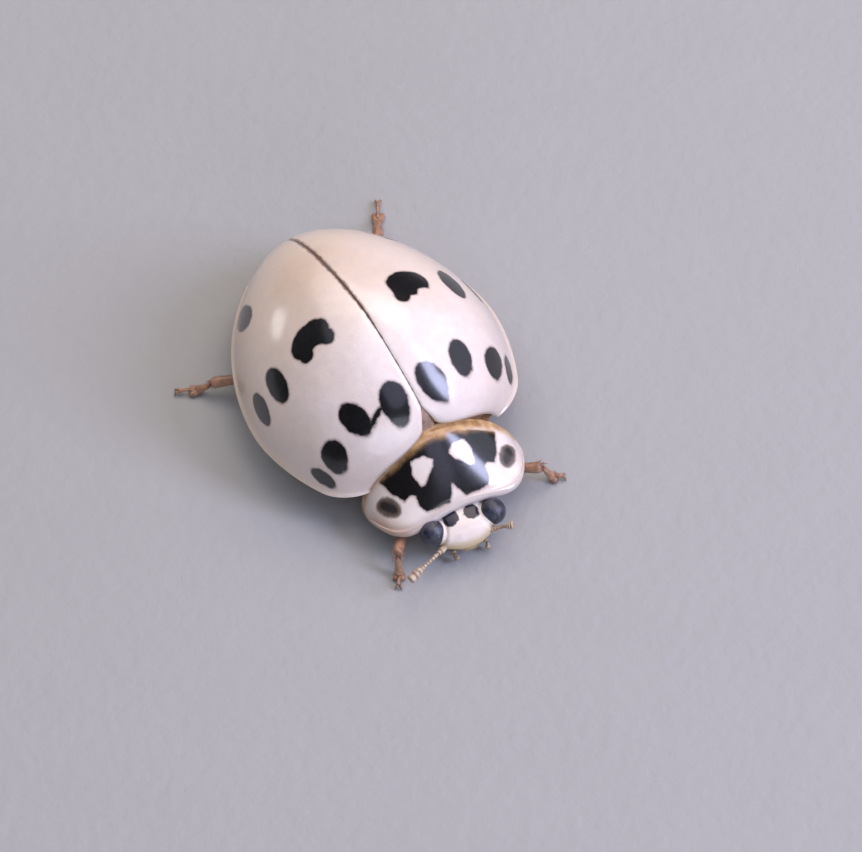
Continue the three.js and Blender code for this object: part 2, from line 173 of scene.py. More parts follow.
class Skin:
    """Points in mm, faces and point values of one piece, gathered before its mesh is made."""

    def __init__(self, *value_names):
        self.points = []
        self.faces = []
        self.values = {name: [] for name in value_names}
        self.size = 0

    def add(self, points, faces, **values):
        points = np.asarray(points, float).reshape(-1, 3)
        self.points.append(points)
        self.faces += [tuple(self.size + i for i in face) for face in faces]
        self.size += len(points)
        for name, rows in self.values.items():
            rows.append(np.zeros(len(points)) + np.ravel(values.get(name, FAR)))

    def piece(self, name, material, slot, *nodes):
        """Makes the mesh and its object, with its faces turned out, and sets it in the frame."""
        mesh = bpy.data.meshes.new(name)
        mesh.from_pydata(((np.concatenate(self.points) + ORIGIN) * MM).tolist(), [], self.faces)
        for value_name, rows in self.values.items():
            attribute = mesh.attributes.new(value_name, "FLOAT", "POINT")
            attribute.data.foreach_set("value", np.concatenate(rows).astype(np.float32))
        shape = bmesh.new()
        shape.from_mesh(mesh)
        bmesh.ops.recalc_face_normals(shape, faces=shape.faces)
        shape.to_mesh(mesh)
        shape.free()
        mesh.shade_smooth()
        mesh.materials.append(material)
        made = bpy.data.objects.new(name, mesh)
        bpy.context.scene.collection.objects.link(made)
        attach(made, "root")
        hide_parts(*nodes)
        return made


def sheet(top, bottom, bulge=1.0, steps=3):
    """Two like grids of points closed all round by a rounded edge.
    Gives the points, the faces and, for each point, its place in the flattened grid."""
    rows, columns = top.shape[:2]
    count = rows * columns
    faces = grid_faces(rows, columns) + [face[::-1] for face in grid_faces(rows, columns, count)]
    border = [(0, c) for c in range(columns - 1)] + [(r, columns - 1) for r in range(rows - 1)]
    border += [(rows - 1, c) for c in range(columns - 1, 0, -1)] + [(r, 0) for r in range(rows - 1, 0, -1)]
    row, column = np.array(border).T
    inner = (np.clip(row, 1, rows - 2), np.clip(column, 1, columns - 2))
    middle = (top[row, column] + bottom[row, column]) / 2
    half = (top[row, column] - bottom[row, column]) / 2
    out = unit(middle - (top[inner] + bottom[inner]) / 2)
    thick = np.linalg.norm(half, axis=1, keepdims=True) * bulge
    rings = []
    for step in range(1, steps + 1):
        angle = math.pi * step / (steps + 1)
        rings.append(middle + math.cos(angle) * half + math.sin(angle) * thick * out)
    points = np.concatenate([top.reshape(-1, 3), bottom.reshape(-1, 3), *rings])
    flat = row * columns + column
    levels = [flat, *(2 * count + len(flat) * k + np.arange(len(flat)) for k in range(steps)), flat + count]
    for upper, lower in zip(levels, levels[1:]):
        faces += zip(upper, lower, np.roll(lower, -1), np.roll(upper, -1))
    grid = np.arange(count)
    return points, faces, np.concatenate([grid, grid, *([flat] * steps)])


Limb = namedtuple("Limb", "points faces joint middle sides")


def limb(start, end, stops, bow=(0, 0, 0), flat=1.0, cap=0.6, rings=28, sides=20):
    """A closed limb segment: stops pair shares of its length with radii, and cap says how far, in radii,
    the rounding of its ends reaches. Gives its skin, how far each point is from the nearer end,
    and the middle of the ring that each point is on."""
    start, end, bow = (np.asarray(p, float) for p in (start, end, bow))
    length = np.linalg.norm(end - start)
    share = 0.5 - 0.5 * np.cos(np.linspace(0, math.pi, rings + 2)[1:-1])
    places, radii = np.array(stops).T
    radius = np.interp(share, places, radii)
    for _ in range(3):
        radius[1:-1] = (radius[:-2] + 2 * radius[1:-1] + radius[2:]) / 4
    for near, tip in ((share, radii[0]), (1 - share, radii[-1])):
        inside = np.clip(near * length / max(tip * cap, 1e-6), 0, 1)
        radius = radius * np.sqrt(1 - (1 - inside) ** 2)
    path = start + (end - start) * share[:, None] + bow * (4 * share * (1 - share))[:, None]
    along = unit(np.gradient(path, axis=0))
    side = unit(np.cross(along, [0.0, 0.0, 1.0]))
    top = np.cross(side, along)
    angle = np.linspace(0, 2 * math.pi, sides, endpoint=False)[None, :, None]
    ring = np.cos(angle) * side[:, None] * flat + np.sin(angle) * top[:, None]
    points, faces = closed_tube(path[:, None] + ring * radius[:, None, None], [start, end])
    nearer = np.repeat(np.minimum(share, 1 - share) * length, sides)
    return Limb(points, faces, np.append(nearer, [0, 0]), np.repeat(path, sides, axis=0), sides)


def ball(level):
    """Points and faces of an even ball of radius 1."""
    shape = bmesh.new()
    bmesh.ops.create_icosphere(shape, subdivisions=level, radius=1)
    points = np.array([v.co for v in shape.verts])
    faces = [tuple(v.index for v in face.verts) for face in shape.faces]
    shape.free()
    return points, faces


def hairs(skin, roots, directions, length, thickness, rng):
    """Short tapered hairs, each a bent three-sided spike."""
    for root, direction in zip(roots, directions):
        size = length * rng.uniform(*HAIR_SIZES)
        direction = unit(direction)
        side = unit(np.cross(direction, rng.normal(size=3)))
        other = np.cross(direction, side)
        bend = other * size * HAIR_BEND
        points = []
        for share, width in ((-0.1, 1.0), (0.5, 0.7)):
            for k in range(3):
                angle = 2 * math.pi * k / 3
                spoke = (math.cos(angle) * side + math.sin(angle) * other) * thickness / 2 * width
                points.append(root + direction * size * share + bend * share * share + spoke)
        points.append(root + direction * size + bend)
        faces = [(0, 2, 1), (3, 4, 6), (4, 5, 6), (5, 3, 6)]
        faces += [(k, (k + 1) % 3, (k + 1) % 3 + 3, k + 3) for k in range(3)]
        skin.add(points, faces)


def add_limb(skin, made, rng=None, count=0, length=0.05, lean=1.2, thickness=0.007):
    """Puts a limb segment in a skin, kept off the floor, with hairs that lean towards its end."""
    points = made.points * 1.0
    points[:, 2] = np.maximum(points[:, 2], FEET_LEVEL)
    skin.add(points, made.faces, joint=made.joint)
    if not count:
        return
    first = rng.integers(0, len(made.middle) - made.sides, count)
    share = rng.random(count)[:, None]
    root = lerp(points[first], points[first + made.sides], share)
    middle = lerp(made.middle[first], made.middle[first + made.sides], share)
    aim = unit(root - middle) + unit(made.points[-1] - made.points[-2]) * lean
    root = lerp(root, middle, 0.08)
    keep = (root + unit(aim) * length * 1.3)[:, 2] > HAIR_ROOM
    hairs(skin, root[keep], aim[keep], length, thickness, rng)


# ---- Materials ----

CHITIN_IOR = 1.56
SPREAD = (1.0, 0.7, 0.5)  # how far red, green and blue light spread in pale cuticle, as shares
NOISE_RANGE = (0.3, 0.7)  # the part of the noise that patches are made from
PIT_FLOOR = 0.05
SOFT = {"interpolation_type": "SMOOTHSTEP"}


def linear(colour):
    """sRGB hex to linear RGB."""
    values = [int(colour[i : i + 2], 16) / 255 for i in (1, 3, 5)]
    return tuple(v / 12.92 if v <= 0.04045 else ((v + 0.055) / 1.055) ** 2.4 for v in values)


class Finish:
    """A material of one shader. Sizes and depths of its textures are in mm."""

    def __init__(self, name, sockets):
        self.material = bpy.data.materials.new(name)
        self.material.use_nodes = True
        self.tree = self.material.node_tree
        self.tree.nodes.clear()
        surface = self.node("BsdfPrincipled", sockets)
        self.shader = surface.node
        self.tree.links.new(surface, self.tree.nodes.new("ShaderNodeOutputMaterial").inputs["Surface"])
        self.place = self.node("TexCoord", output="Object")

    def node(self, kind, inputs=(), output=0, **settings):
        """Adds a node and gives one of its outputs. Settings go on the node. Inputs, which go by name or
        number or in order, are set to values or linked to outputs of other nodes."""
        made = self.tree.nodes.new("ShaderNode" + kind)
        for name, value in settings.items():
            setattr(made, name, value)
        for name, value in inputs.items() if isinstance(inputs, dict) else enumerate(inputs):
            socket = made.inputs[name]
            if isinstance(value, bpy.types.NodeSocket):
                self.tree.links.new(value, socket)
            else:
                socket.default_value = (*value, 1) if socket.type == "RGBA" else value
        return made.outputs[output]

    def mottling(self, size, low=0.0, high=1.0, detail=3.0):
        """Soft patches of about that size, between two values."""
        noise = self.node("TexNoise", {"Vector": self.place, "Scale": 1 / (size * MM), "Detail": detail})
        return self.node("MapRange", (noise, *NOISE_RANGE, low, high), **SOFT)

    def pits(self, spacing, reach):
        """Dents that far apart, each from 0 in its middle to 1 at reach, a share of the spacing."""
        cells = self.node("TexVoronoi", {"Vector": self.place, "Scale": 1 / (spacing * MM)})
        return self.node("MapRange", (cells, PIT_FLOOR, reach, 0.0, 1.0), **SOFT)

    def skin_value(self, name, *ragged):
        """A value that the skin holds at its points, made uneven by patches of a size and a depth."""
        value = self.node("Attribute", output="Fac", attribute_name=name)
        for size, depth in ragged:
            value = self.node("Math", (value, self.mottling(size, -depth, depth)))
        return value

    def layers(self, colour, *over):
        """Colours laid over one another. Each has its share, or the value that its share goes by:
        the value's start and end, and the shares there."""
        for paint, *share in over:
            share = share[0] if len(share) == 1 else self.node("MapRange", share, **SOFT)
            colour = self.node("Mix", {0: share, 6: colour, 7: paint}, 2, data_type="RGBA")
        return colour

    def relief(self, *over):
        """Layers of relief, each a height from 0 to 1 with its depth."""
        below = {}
        for height, depth in over:
            inputs = {"Height": height, "Distance": depth * MM, "Strength": 1.0, **below}
            below = {"Normal": self.node("Bump", inputs)}
        return below["Normal"]

    def made_of(self, **links):
        """Links what the shader's sockets are made from, and gives the material."""
        for socket, value in links.items():
            self.tree.links.new(value, self.shader.inputs[socket.replace("_", " ")])
        return self.material


def colours(group, *names):
    settings = getattr(bpy.context.scene, group)
    return [tuple(getattr(settings, name)) for name in names]


def cuticle(name, roughness, gloss, gloss_roughness, glow=0.0, glow_depth=0.0, specular=0.2, spread=SPREAD):
    """Insect cuticle: a waxy body that light soaks into, glow_depth mm deep, under a clear glossy layer."""
    sockets = {
        "Roughness": roughness,
        "Specular IOR Level": specular,
        "IOR": CHITIN_IOR,
        "Subsurface Weight": glow,
        "Subsurface Radius": spread,
        "Subsurface Scale": glow_depth * MM,
        "Coat Weight": gloss,
        "Coat Roughness": gloss_roughness,
        "Coat IOR": CHITIN_IOR,
    }
    return Finish(name, sockets)


def wing_case_finish(side_name):
    """Polished elytral cuticle, waxy and faintly see-through: it glows softly under a sharp gloss, with
    painted shade darkening its lower sides.
    Its fine pits stand about 0.07 mm apart, somewhat coarser than life, so that they show."""
    finish = cuticle("polished_elytral_cuticle_" + side_name, 0.36, 1.0, 0.15, 0.35, 0.12)
    ivory, warm, black, seam = colours("lady_wing_cases", "ivory", "warm_ivory", "spots", "seam")
    rise = finish.skin_value("rise")
    seam_edge = finish.skin_value("seam", (0.1, 0.01))
    edge = finish.skin_value("spot", (0.16, 0.01), (0.05, 0.003))
    rearward = finish.node("MapRange", (finish.skin_value("along"), -1.2, 1.6, 0.0, 0.75), **SOFT)
    colour = finish.layers(
        ivory,
        (warm, finish.node("Math", (rearward, finish.mottling(0.9, 0.0, 0.3, 2)))),
        (linear("#DECCC8"), finish.mottling(0.16, 0.0, 0.3)),
        # painted shade: darker beige towards the lower sides, fading out higher up the dome
        (linear("#BDA697"), rise, 0.3, 1.3, 0.38, 0.0),
        (linear("#D8C3B0"), rise, 0.02, 0.16, 0.45, 0.0),
        (seam, seam_edge, 0.012, 0.05, 0.85, 0.0),
        (linear("#8F7A70"), edge, 0.0, 0.045, 0.4, 0.0),
        (finish.layers(black, (linear("#131116"), finish.mottling(0.08))), edge, -0.018, 0.018, 1.0, 0.0),
    )
    relief = finish.relief((finish.pits(0.07, 0.3), 0.0022), (finish.mottling(0.5, detail=1), 0.004))
    gloss_relief = finish.relief((finish.mottling(0.6, detail=1), 0.003))
    return finish.made_of(Base_Color=colour, Normal=relief, Coat_Normal=gloss_relief)


def shield_finish():
    """Polished pronotal cuticle: cream with a lacquer-black mark, smoky side spots and an amber rear edge,
    under a sharp gloss; its edges greyer, partly thin see-through cuticle and partly painted shade, and
    painted shade at its right front."""
    finish = cuticle("polished_pronotal_cuticle", 0.34, 1.0, 0.18, 0.3, 0.1)
    cream, black, amber = colours("lady_shield", "cream", "black", "amber")
    ragged = (0.12, 0.007), (0.04, 0.003)
    edge, side_edge = finish.skin_value("mark", *ragged), finish.skin_value("side_spot", *ragged)
    smoky = finish.layers(linear("#302B29"), (linear("#6F6157"), side_edge, -0.09, -0.01, 0.0, 1.0))
    rear = finish.skin_value("rear", (0.2, 0.02))
    colour = finish.layers(
        cream,
        (linear("#DCCBC2"), finish.mottling(0.25, 0.0, 0.35)),
        # greyer edges: partly the thin see-through cuticle's own tone, partly painted shade where the edges
        # turn down
        (linear("#AFA29F"), finish.skin_value("margin"), 0.02, 0.16, 0.6, 0.0),
        # painted shade: browner at the right front, where the edge turns down into shade
        (linear("#A78A76"), finish.skin_value("corner"), 0.08, 0.34, 0.75, 0.0),
        (linear("#7A5E50"), edge, 0.0, 0.04, 0.5, 0.0),
        (finish.layers(black, (linear("#120E10"), finish.mottling(0.07))), edge, -0.012, 0.012, 1.0, 0.0),
        (smoky, side_edge, -0.02, 0.03, 1.0, 0.0),
        (finish.layers(amber, (linear("#AC7D50"), finish.mottling(0.15))), rear, 0.03, 0.19, 1.0, 0.0),
    )
    relief = finish.relief((finish.pits(0.05, 0.32), 0.002), (finish.mottling(0.4, detail=1), 0.003))
    return finish.made_of(Base_Color=colour, Normal=relief)


def head_finish():
    """Head cuticle: cream with two dark spots, a yellow front edge with a painted shadow line under it, and
    less glossy than the shield.
    """
    finish = cuticle("glossy_head_cuticle", 0.36, 0.6, 0.24, 0.25, 0.08)
    cream, black, yellow = colours("lady_head", "cream", "black", "yellow")
    mouth = finish.skin_value("mouth")
    colour = finish.layers(
        cream,
        (linear("#D9C9C0"), finish.mottling(0.14, 0.0, 0.35)),
        (yellow, mouth, 0.04, 0.25, 0.95, 0.0),
        # painted shadow: a thin dark brown line along the lowest front edge, where the face turns under
        (linear("#6E4E2C"), mouth, -0.01, 0.03, 0.8, 0.0),
        (black, finish.skin_value("mark", (0.06, 0.01)), -0.012, 0.016, 1.0, 0.0),
    )
    return finish.made_of(Base_Color=colour, Normal=finish.relief((finish.pits(0.045, 0.32), 0.0025)))


def eye_finish():
    """Cuticle of a compound eye: dark slate blue, with a small gloss on each facet."""
    finish = cuticle("faceted_eye_cuticle", 0.3, 0.8, 0.12)
    (dark,) = colours("lady_head", "eyes")
    return finish.made_of(Base_Color=finish.layers(dark, (linear("#373B4F"), finish.mottling(0.12))))


def limb_finish(name, group, main, dark, roughness=0.42, reach=0.045):
    """Thin cuticle of limbs: amber and faintly see-through, darker within reach of the joints, with a
    low gloss and a fine grain."""
    finish = cuticle(name, roughness, 0.4, 0.2, 0.3, 0.06, specular=0.5, spread=(1.0, 0.5, 0.25))
    light, deep = colours(group, main, dark)
    joint = finish.skin_value("joint")
    patches = finish.mottling(0.12, 0.0, 0.6)
    colour = finish.layers(light, (deep, patches), (deep, joint, 0.0, reach, 0.75, 0.0))
    relief = finish.relief((finish.pits(0.03, 0.4), 0.0015), (finish.mottling(0.06, detail=2), 0.003))
    return finish.made_of(Base_Color=colour, Normal=relief)


def floor_finish():
    """Matt painted board: pale and even, with the faint tooth of a roller and no gloss."""
    finish = Finish("matt_painted_board", {"Roughness": 0.85, "Specular IOR Level": 0.25})
    (floor,) = colours("lady_stage", "floor")
    colour = finish.layers(floor, (tuple(c * 0.94 for c in floor), finish.mottling(1.2, 0.0, 0.25)))
    return finish.made_of(Base_Color=colour, Normal=finish.relief((finish.mottling(0.25, detail=4), 0.006)))


# ---- Wing cases ----

# The dome is a superellipse in plan and in each section, with a power for each way.
PLAN_POWER = 1.78
POWER_SIDE, POWER_REAR, POWER_FRONT = 1.7, 1.87, 1.4
CREST_EASE = 0.17  # the slopes round into the crest over about this many mm
EASED_WITHIN = (0.4, 0.95)  # from the crest, 0, to the rim, 1: where the rounding fades out
SHOULDER_RADIUS = 0.4
SHOULDER_DROP = 0.7  # how far the crest falls over the shoulders, as a share of their inset
LIP_SHARE, LIP_HEIGHT, FLARE_HEIGHT = 0.45, 0.05, 0.16  # the flare has a sharp lip and a soft part above it
LEAST = 0.03  # the least half-width and height of a section


def dome_reach(y):
    return np.where(y < 0, REACH_FRONT, REACH_REAR)


def dome_half_width(y):
    return HALF_WIDTH * np.maximum(0, 1 - (np.abs(y) / dome_reach(y)) ** PLAN_POWER) ** (1 / PLAN_POWER)


def eased(distance):
    """A distance from the crest, made less close by, so that the dome has no ridge there."""
    return np.abs(distance) * (1 - np.exp(-np.abs(distance) / CREST_EASE))


def dome_height(x, y):
    reach = dome_reach(y)
    across, along = (np.abs(x) / HALF_WIDTH) ** PLAN_POWER, (np.abs(y) / reach) ** PLAN_POWER
    rounded = (eased(x) / HALF_WIDTH) ** PLAN_POWER + (eased(y) / reach) ** PLAN_POWER
    out = lerp(rounded, across + along, smooth(across + along, *EASED_WITHIN))
    end_power = np.where(y < 0, POWER_FRONT, POWER_REAR)
    power = POWER_SIDE + (end_power - POWER_SIDE) * along / np.maximum(across + along, 1e-9)
    return DOME_HEIGHT * np.maximum(0, 1 - np.minimum(1, out) ** (power / PLAN_POWER)) ** (1 / power)


def dome_point(y, turn, depth=0.0):
    """A point of the dome's cross-section: turn runs from 0 at the crest to 1 at the rim."""
    half_width = dome_half_width(y)
    x = half_width * np.sin(turn * math.pi / 2)
    z = dome_height(x, y)
    crest = dome_height(0 * x, y)
    past = np.clip((FRONT_Y + SHOULDER_RADIUS - y) / SHOULDER_RADIUS, 0, 1)
    inset = SHOULDER_RADIUS * (1 - np.sqrt(1 - past * past))
    lip, soft = np.exp(-((z / LIP_HEIGHT) ** 2)), np.exp(-z / FLARE_HEIGHT)
    flare = 1 + RIM_FLARE * (LIP_SHARE * lip + (1 - LIP_SHARE) * soft)
    width_share = np.maximum(LEAST, half_width - inset - depth) / np.maximum(half_width, 1e-6)
    height_share = np.maximum(LEAST, crest - SHOULDER_DROP * inset - depth) / np.maximum(crest, 1e-6)
    return np.stack([x * width_share * flare, y * flare, z * height_share + RIM_Z], -1)


Spot = namedtuple("Spot", "arc along half_arc half_along tilt")
# Each spot lies at an arc from the suture and a distance behind the widest section, all in mm.
SPOTS = {
    "shoulder_1": Spot(0.33, -1.35, 0.215, 0.25, 14),
    "shoulder_2": Spot(1.01, -1.19, 0.19, 0.285, -38),
    "shoulder_3": Spot(1.69, -1.29, 0.27, 0.195, 18),
    "shoulder_4": Spot(2.20, -1.28, 0.115, 0.25, -42),
    "middle_1": Spot(0.93, 0.15, 0.39, 0.265, 0),
    "middle_2": Spot(1.88, 0.10, 0.215, 0.32, 6),
    "middle_3": Spot(2.48, 0.16, 0.19, 0.29, 14),
    "rear": Spot(1.62, 1.72, 0.27, 0.29, -20),
}
# Spots that lie or look otherwise on one side.
MOVED = {
    "right": {},
    "left": {"middle_3": Spot(2.58, 0.16, 0.16, 0.27, 14), "shoulder_3": Spot(1.72, -1.27, 0.31, 0.165, 34)},
}
# The horns of the kidney-shaped spot middle_1, and on the right the link of the first two shoulder spots.
HORNS = {
    "right": (
        Spot(0.69, -0.01, 0.135, 0.15, -15),
        Spot(1.14, 0.0, 0.14, 0.12, 10),
        Spot(0.68, -1.36, 0.19, 0.034, -16),
    ),
    "left": (Spot(0.67, -0.06, 0.13, 0.15, -20),),
}
NOTCHES = {"right": (0.93, -0.16, 0.15), "left": (1.12, -0.2, 0.2)}  # in the front side of middle_1


def spot_distance(arc, along, spot, size=1.0):
    """Distance from a spot's edge, inside negative."""
    tilt = math.radians(spot.tilt)
    across = (arc - spot.arc) * math.cos(tilt) + (along - spot.along) * math.sin(tilt)
    down = (along - spot.along) * math.cos(tilt) - (arc - spot.arc) * math.sin(tilt)
    wide, long = spot.half_arc * size, spot.half_along * size
    out = np.hypot(across / wide, down / long)
    return out * (out - 1) / np.maximum(np.hypot(across / wide**2, down / long**2), 1e-6)


def spot_field(arc, along, side_name):
    """Distance from the nearest spot's edge at each point of a wing case."""
    size = bpy.context.scene.lady_wing_cases.spot_size
    spots = {**SPOTS, **MOVED[side_name]}.values()
    nearest = np.minimum.reduce([spot_distance(arc, along, spot, size) for spot in spots])
    notch_arc, notch_along, radius = NOTCHES[side_name]
    nearest = np.maximum(nearest, radius - np.hypot(arc - notch_arc, along - notch_along))
    return np.minimum.reduce([nearest, *(spot_distance(arc, along, horn, size) for horn in HORNS[side_name])])


SCUTELLUM_TIP_Y = -1.56
SCUTELLUM_LENGTH = 0.3
SCUTELLUM_HALF_WIDTH = 0.13
SCUTELLUM_FLANK = 0.22  # length over which its sides run to the point
SCUTELLUM_GAP = 0.03
SCUTELLUM_DIP = 0.2  # how far its front end goes down under the shield
TIP_NOTCH, TIP_NOTCH_FROM = 0.022, (2.45, 2.75)
SEAM_HALF = 0.008  # half the width of the seam


def suture_edge(y):
    """How far a wing case stops from the middle line: it leaves room for the small plate in front
    and for a narrow notch between the tips."""
    flank = np.clip((SCUTELLUM_TIP_Y - y) / SCUTELLUM_FLANK, 0, 1) ** 1.5
    notch = np.minimum(TIP_NOTCH * smooth(y, *TIP_NOTCH_FROM) + SEAM_HALF, 0.4 * dome_half_width(y))
    return np.maximum(flank * (SCUTELLUM_HALF_WIDTH + SCUTELLUM_GAP), notch)


STATIONS = 170
COLUMNS = 110
SECTION_STEPS = 500
TIP_GAP = 0.012  # the last station stops this far from the end of the dome
SHELL_THICKNESS = 0.09
EPIPLEURON = 0.25  # width of the rim's turned-in underside
SHOULDER = (1.95, -1.05, 0.33, 0.018)  # the shoulder's low boss: its arc, place along, radius and height
SEAM_DIP, SEAM_DIP_WIDTH = 0.012, 0.03
SUNK = 0.003  # the whole dome lies this far inside the frame's
FRONT_BOW = np.array([0, -0.15, -0.07])  # each front edge bows forward and down on to the shield
BOW_REACH = 0.5
BEAD = 0.022  # radius of the rolled rim
BEAD_HEIGHT = 0.05
CURL = np.radians([35, 70, 105, 140])  # how far round each step of the rolled rim is
SEAM_FADE = 0.034  # how much narrower the brown edge of the seam is in front


def wing_case(side_name):
    """One wing case: a thin shell of the dome with a rolled rim and a turned-in underside. It is made for
    the left and mirrored for the right, and its points hold what its marks and shades go by."""
    stations = lerp(FRONT_Y, REACH_REAR - TIP_GAP, even_but_finer_at_ends(STATIONS, 0.75))
    top = np.zeros((STATIONS, COLUMNS, 3))
    arc = np.zeros((STATIONS, COLUMNS))
    turn = np.linspace(0, 1, SECTION_STEPS)
    for row, y in enumerate(stations):
        section = dome_point(np.full_like(turn, y), turn)
        run = np.concatenate([[0], np.cumsum(np.hypot(*np.diff(section[:, [0, 2]], axis=0).T))])
        first = np.interp(suture_edge(y), section[:, 0], run)
        arc[row] = lerp(first, run[-1], even_but_finer_at_ends(COLUMNS))
        top[row] = np.stack([np.interp(arc[row], run, section[:, axis]) for axis in range(3)], -1)
    rise = top[..., 2] - RIM_Z
    from_seam = arc - arc[:, :1]
    normals = grid_normals(top)
    boss_arc, boss_along, radius, height = SHOULDER
    boss = np.hypot(arc - boss_arc, (top[..., 1] - boss_along) * 1.2)
    swelling = height * swell(boss, 0, radius) - SEAM_DIP * swell(from_seam, 0, SEAM_DIP_WIDTH) - SUNK
    swelling *= smooth(rise, 0.0, 0.25)
    top = top + normals * swelling[..., None]
    spot = spot_field(arc, top[..., 1], side_name)
    share = from_seam / from_seam[:, -1:]
    near_front = np.clip((FRONT_Y + BOW_REACH - stations) / BOW_REACH, 0, 1)[:, None]
    bow = np.sin(math.pi * share**0.55) * near_front**2
    top += bow[..., None] * FRONT_BOW
    top[..., 0] += SLIT_HALF * smooth(from_seam, 0.0, 0.5)
    top[..., 2] += BEAD * np.exp(-rise / BEAD_HEIGHT)
    along_rim = unit(np.gradient(top[:, -1], axis=0))
    inward = unit(np.stack([-along_rim[:, 1], along_rim[:, 0], 0 * along_rim[:, 0]], -1))
    inner = top - normals * SHELL_THICKNESS
    inner[..., 2] = np.maximum(inner[..., 2], RIM_Z + 0.06)
    from_ends = np.minimum(stations - FRONT_Y, REACH_REAR - stations)
    hem = top[:, -1] + inward * EPIPLEURON * smooth(from_ends, -0.1, 0.5)[:, None]
    hem[:, 2] = RIM_Z + 0.05
    curl, underside = [], []
    for step, angle in enumerate(CURL, 1):
        edge = top[:, -1] + inward * BEAD * (1 - math.cos(angle))
        edge[:, 2] -= BEAD * math.sin(angle)
        curl.append(edge)
        underside.append(lerp(inner[:, -1], hem, step / len(CURL)))
    top = np.concatenate([top, np.stack(curl, 1)], axis=1)
    inner = np.concatenate([inner, np.stack(underside, 1)], axis=1)
    seam = from_seam + SEAM_FADE * (1 - smooth(stations, -0.9, 0.6))[:, None]
    values = {"rise": rise, "seam": seam, "spot": spot, "along": stations[:, None] + 0 * rise}
    values = {name: np.pad(value, ((0, 0), (0, len(CURL))), mode="edge") for name, value in values.items()}
    points, faces, place = sheet(top, inner, bulge=0.12)
    points[:, 0] *= SIDES[side_name]
    skin = Skin(*values)
    skin.add(points, faces, **{name: value.ravel()[place] for name, value in values.items()})
    finish = wing_case_finish(side_name)
    return skin.piece("wing_case_" + side_name, finish, "wing_cases", "elytron_" + side_name)


def scutellum():
    """The small shield-shaped plate between the wing cases: slightly domed, edges rounded."""
    rows, columns = 16, 15
    share = np.linspace(0, 1, rows)[:, None]
    across = np.linspace(-1, 1, columns)[None, :]
    width = SCUTELLUM_HALF_WIDTH * np.minimum(1, (1.02 - share) * SCUTELLUM_LENGTH / SCUTELLUM_FLANK) - 0.006
    x = across * np.maximum(width, 0.004)
    y = SCUTELLUM_TIP_Y - SCUTELLUM_LENGTH * (1 - share) + 0 * x
    crest = dome_point(y, np.zeros_like(y))[..., 2]
    z = crest - 0.035 + 0.018 * (1 - across**2) - SCUTELLUM_DIP * smooth(share, 0.75, 0.1)
    top = np.stack([x, y, z], -1)
    points, faces, _ = sheet(top, top - np.array([0, 0.03, 0.12]), bulge=0.3)
    skin = Skin("joint")
    skin.add(points, faces)
    finish = limb_finish("scutellum_cuticle", "lady_wing_cases", "plate", "seam", 0.3)
    return skin.piece("scutellum_plate", finish, "wing_cases", "scutellum")


# ---- Shield ----

# Half of the black mark, from the middle of its rear edge round to the middle of its front edge,
# and the cream wedge that it holds: mm across from the middle line and forward of the rear edge.
MARK_OUTLINE = [
    (0.0, 0.1), (0.4, 0.1), (0.97, 0.15), (0.93, 0.27), (0.88, 0.42), (0.81, 0.52), (0.76, 0.6), (0.66, 0.57),
    (0.57, 0.63), (0.58, 0.78), (0.52, 0.87), (0.34, 0.9), (0.15, 0.9), (0.07, 0.8), (0.01, 0.68),
]
WEDGE_OUTLINE = [
    (0.46, 0.21), (0.24, 0.25), (0.13, 0.35), (0.17, 0.43), (0.28, 0.5), (0.4, 0.6), (0.47, 0.57),
    (0.51, 0.38),
]
SIDE_SPOT = Spot(1.02, 0.53, 0.115, 0.22, 36)  # across and forward
MARK_MIDDLE = 0.015  # how far to the left the marks lie


def outline_distance(outline, x, y):
    """Distance from a closed outline, inside negative."""
    nearest = np.full(x.shape, FAR)
    inside = np.zeros(x.shape, bool)
    for (ax, ay), (bx, by) in zip(outline, outline[1:] + outline[:1]):
        dx, dy = bx - ax, by - ay
        share = np.clip(((x - ax) * dx + (y - ay) * dy) / (dx * dx + dy * dy), 0, 1)
        nearest = np.minimum(nearest, np.hypot(x - ax - share * dx, y - ay - share * dy))
        if ay != by:
            crossed = ((ay > y) != (by > y)) & (x < dx * (y - ay) / dy + ax)
            inside ^= crossed
    return np.where(inside, -nearest, nearest)


def mark_distance(across, forward):
    """Distance from the edge of the large black mark of the shield, inside negative."""
    whole = MARK_OUTLINE + [(-x, y) for x, y in reversed(MARK_OUTLINE[1:])]
    mark = outline_distance(whole, across, forward)
    return np.maximum(mark - 0.015, -outline_distance(WEDGE_OUTLINE, across, forward))


SHIELD_FRONT_Z = 0.8
SHIELD_EDGE_Z = 0.52
SHIELD_SLOPE = 0.58  # how steeply the crest falls from the rear edge


def shield_top(u, forward):
    share = forward / SHIELD_LENGTH
    fall = SHIELD_REAR_Z - SHIELD_FRONT_Z
    crest = SHIELD_REAR_Z - SHIELD_SLOPE * share - (fall - SHIELD_SLOPE) * share**2
    edge = SHIELD_EDGE_Z - 0.08 * share
    out = np.minimum(1, np.abs(u) / SHIELD_HALF_WIDTH)
    return edge + (crest - edge) * (1 - out**1.9) ** 0.9


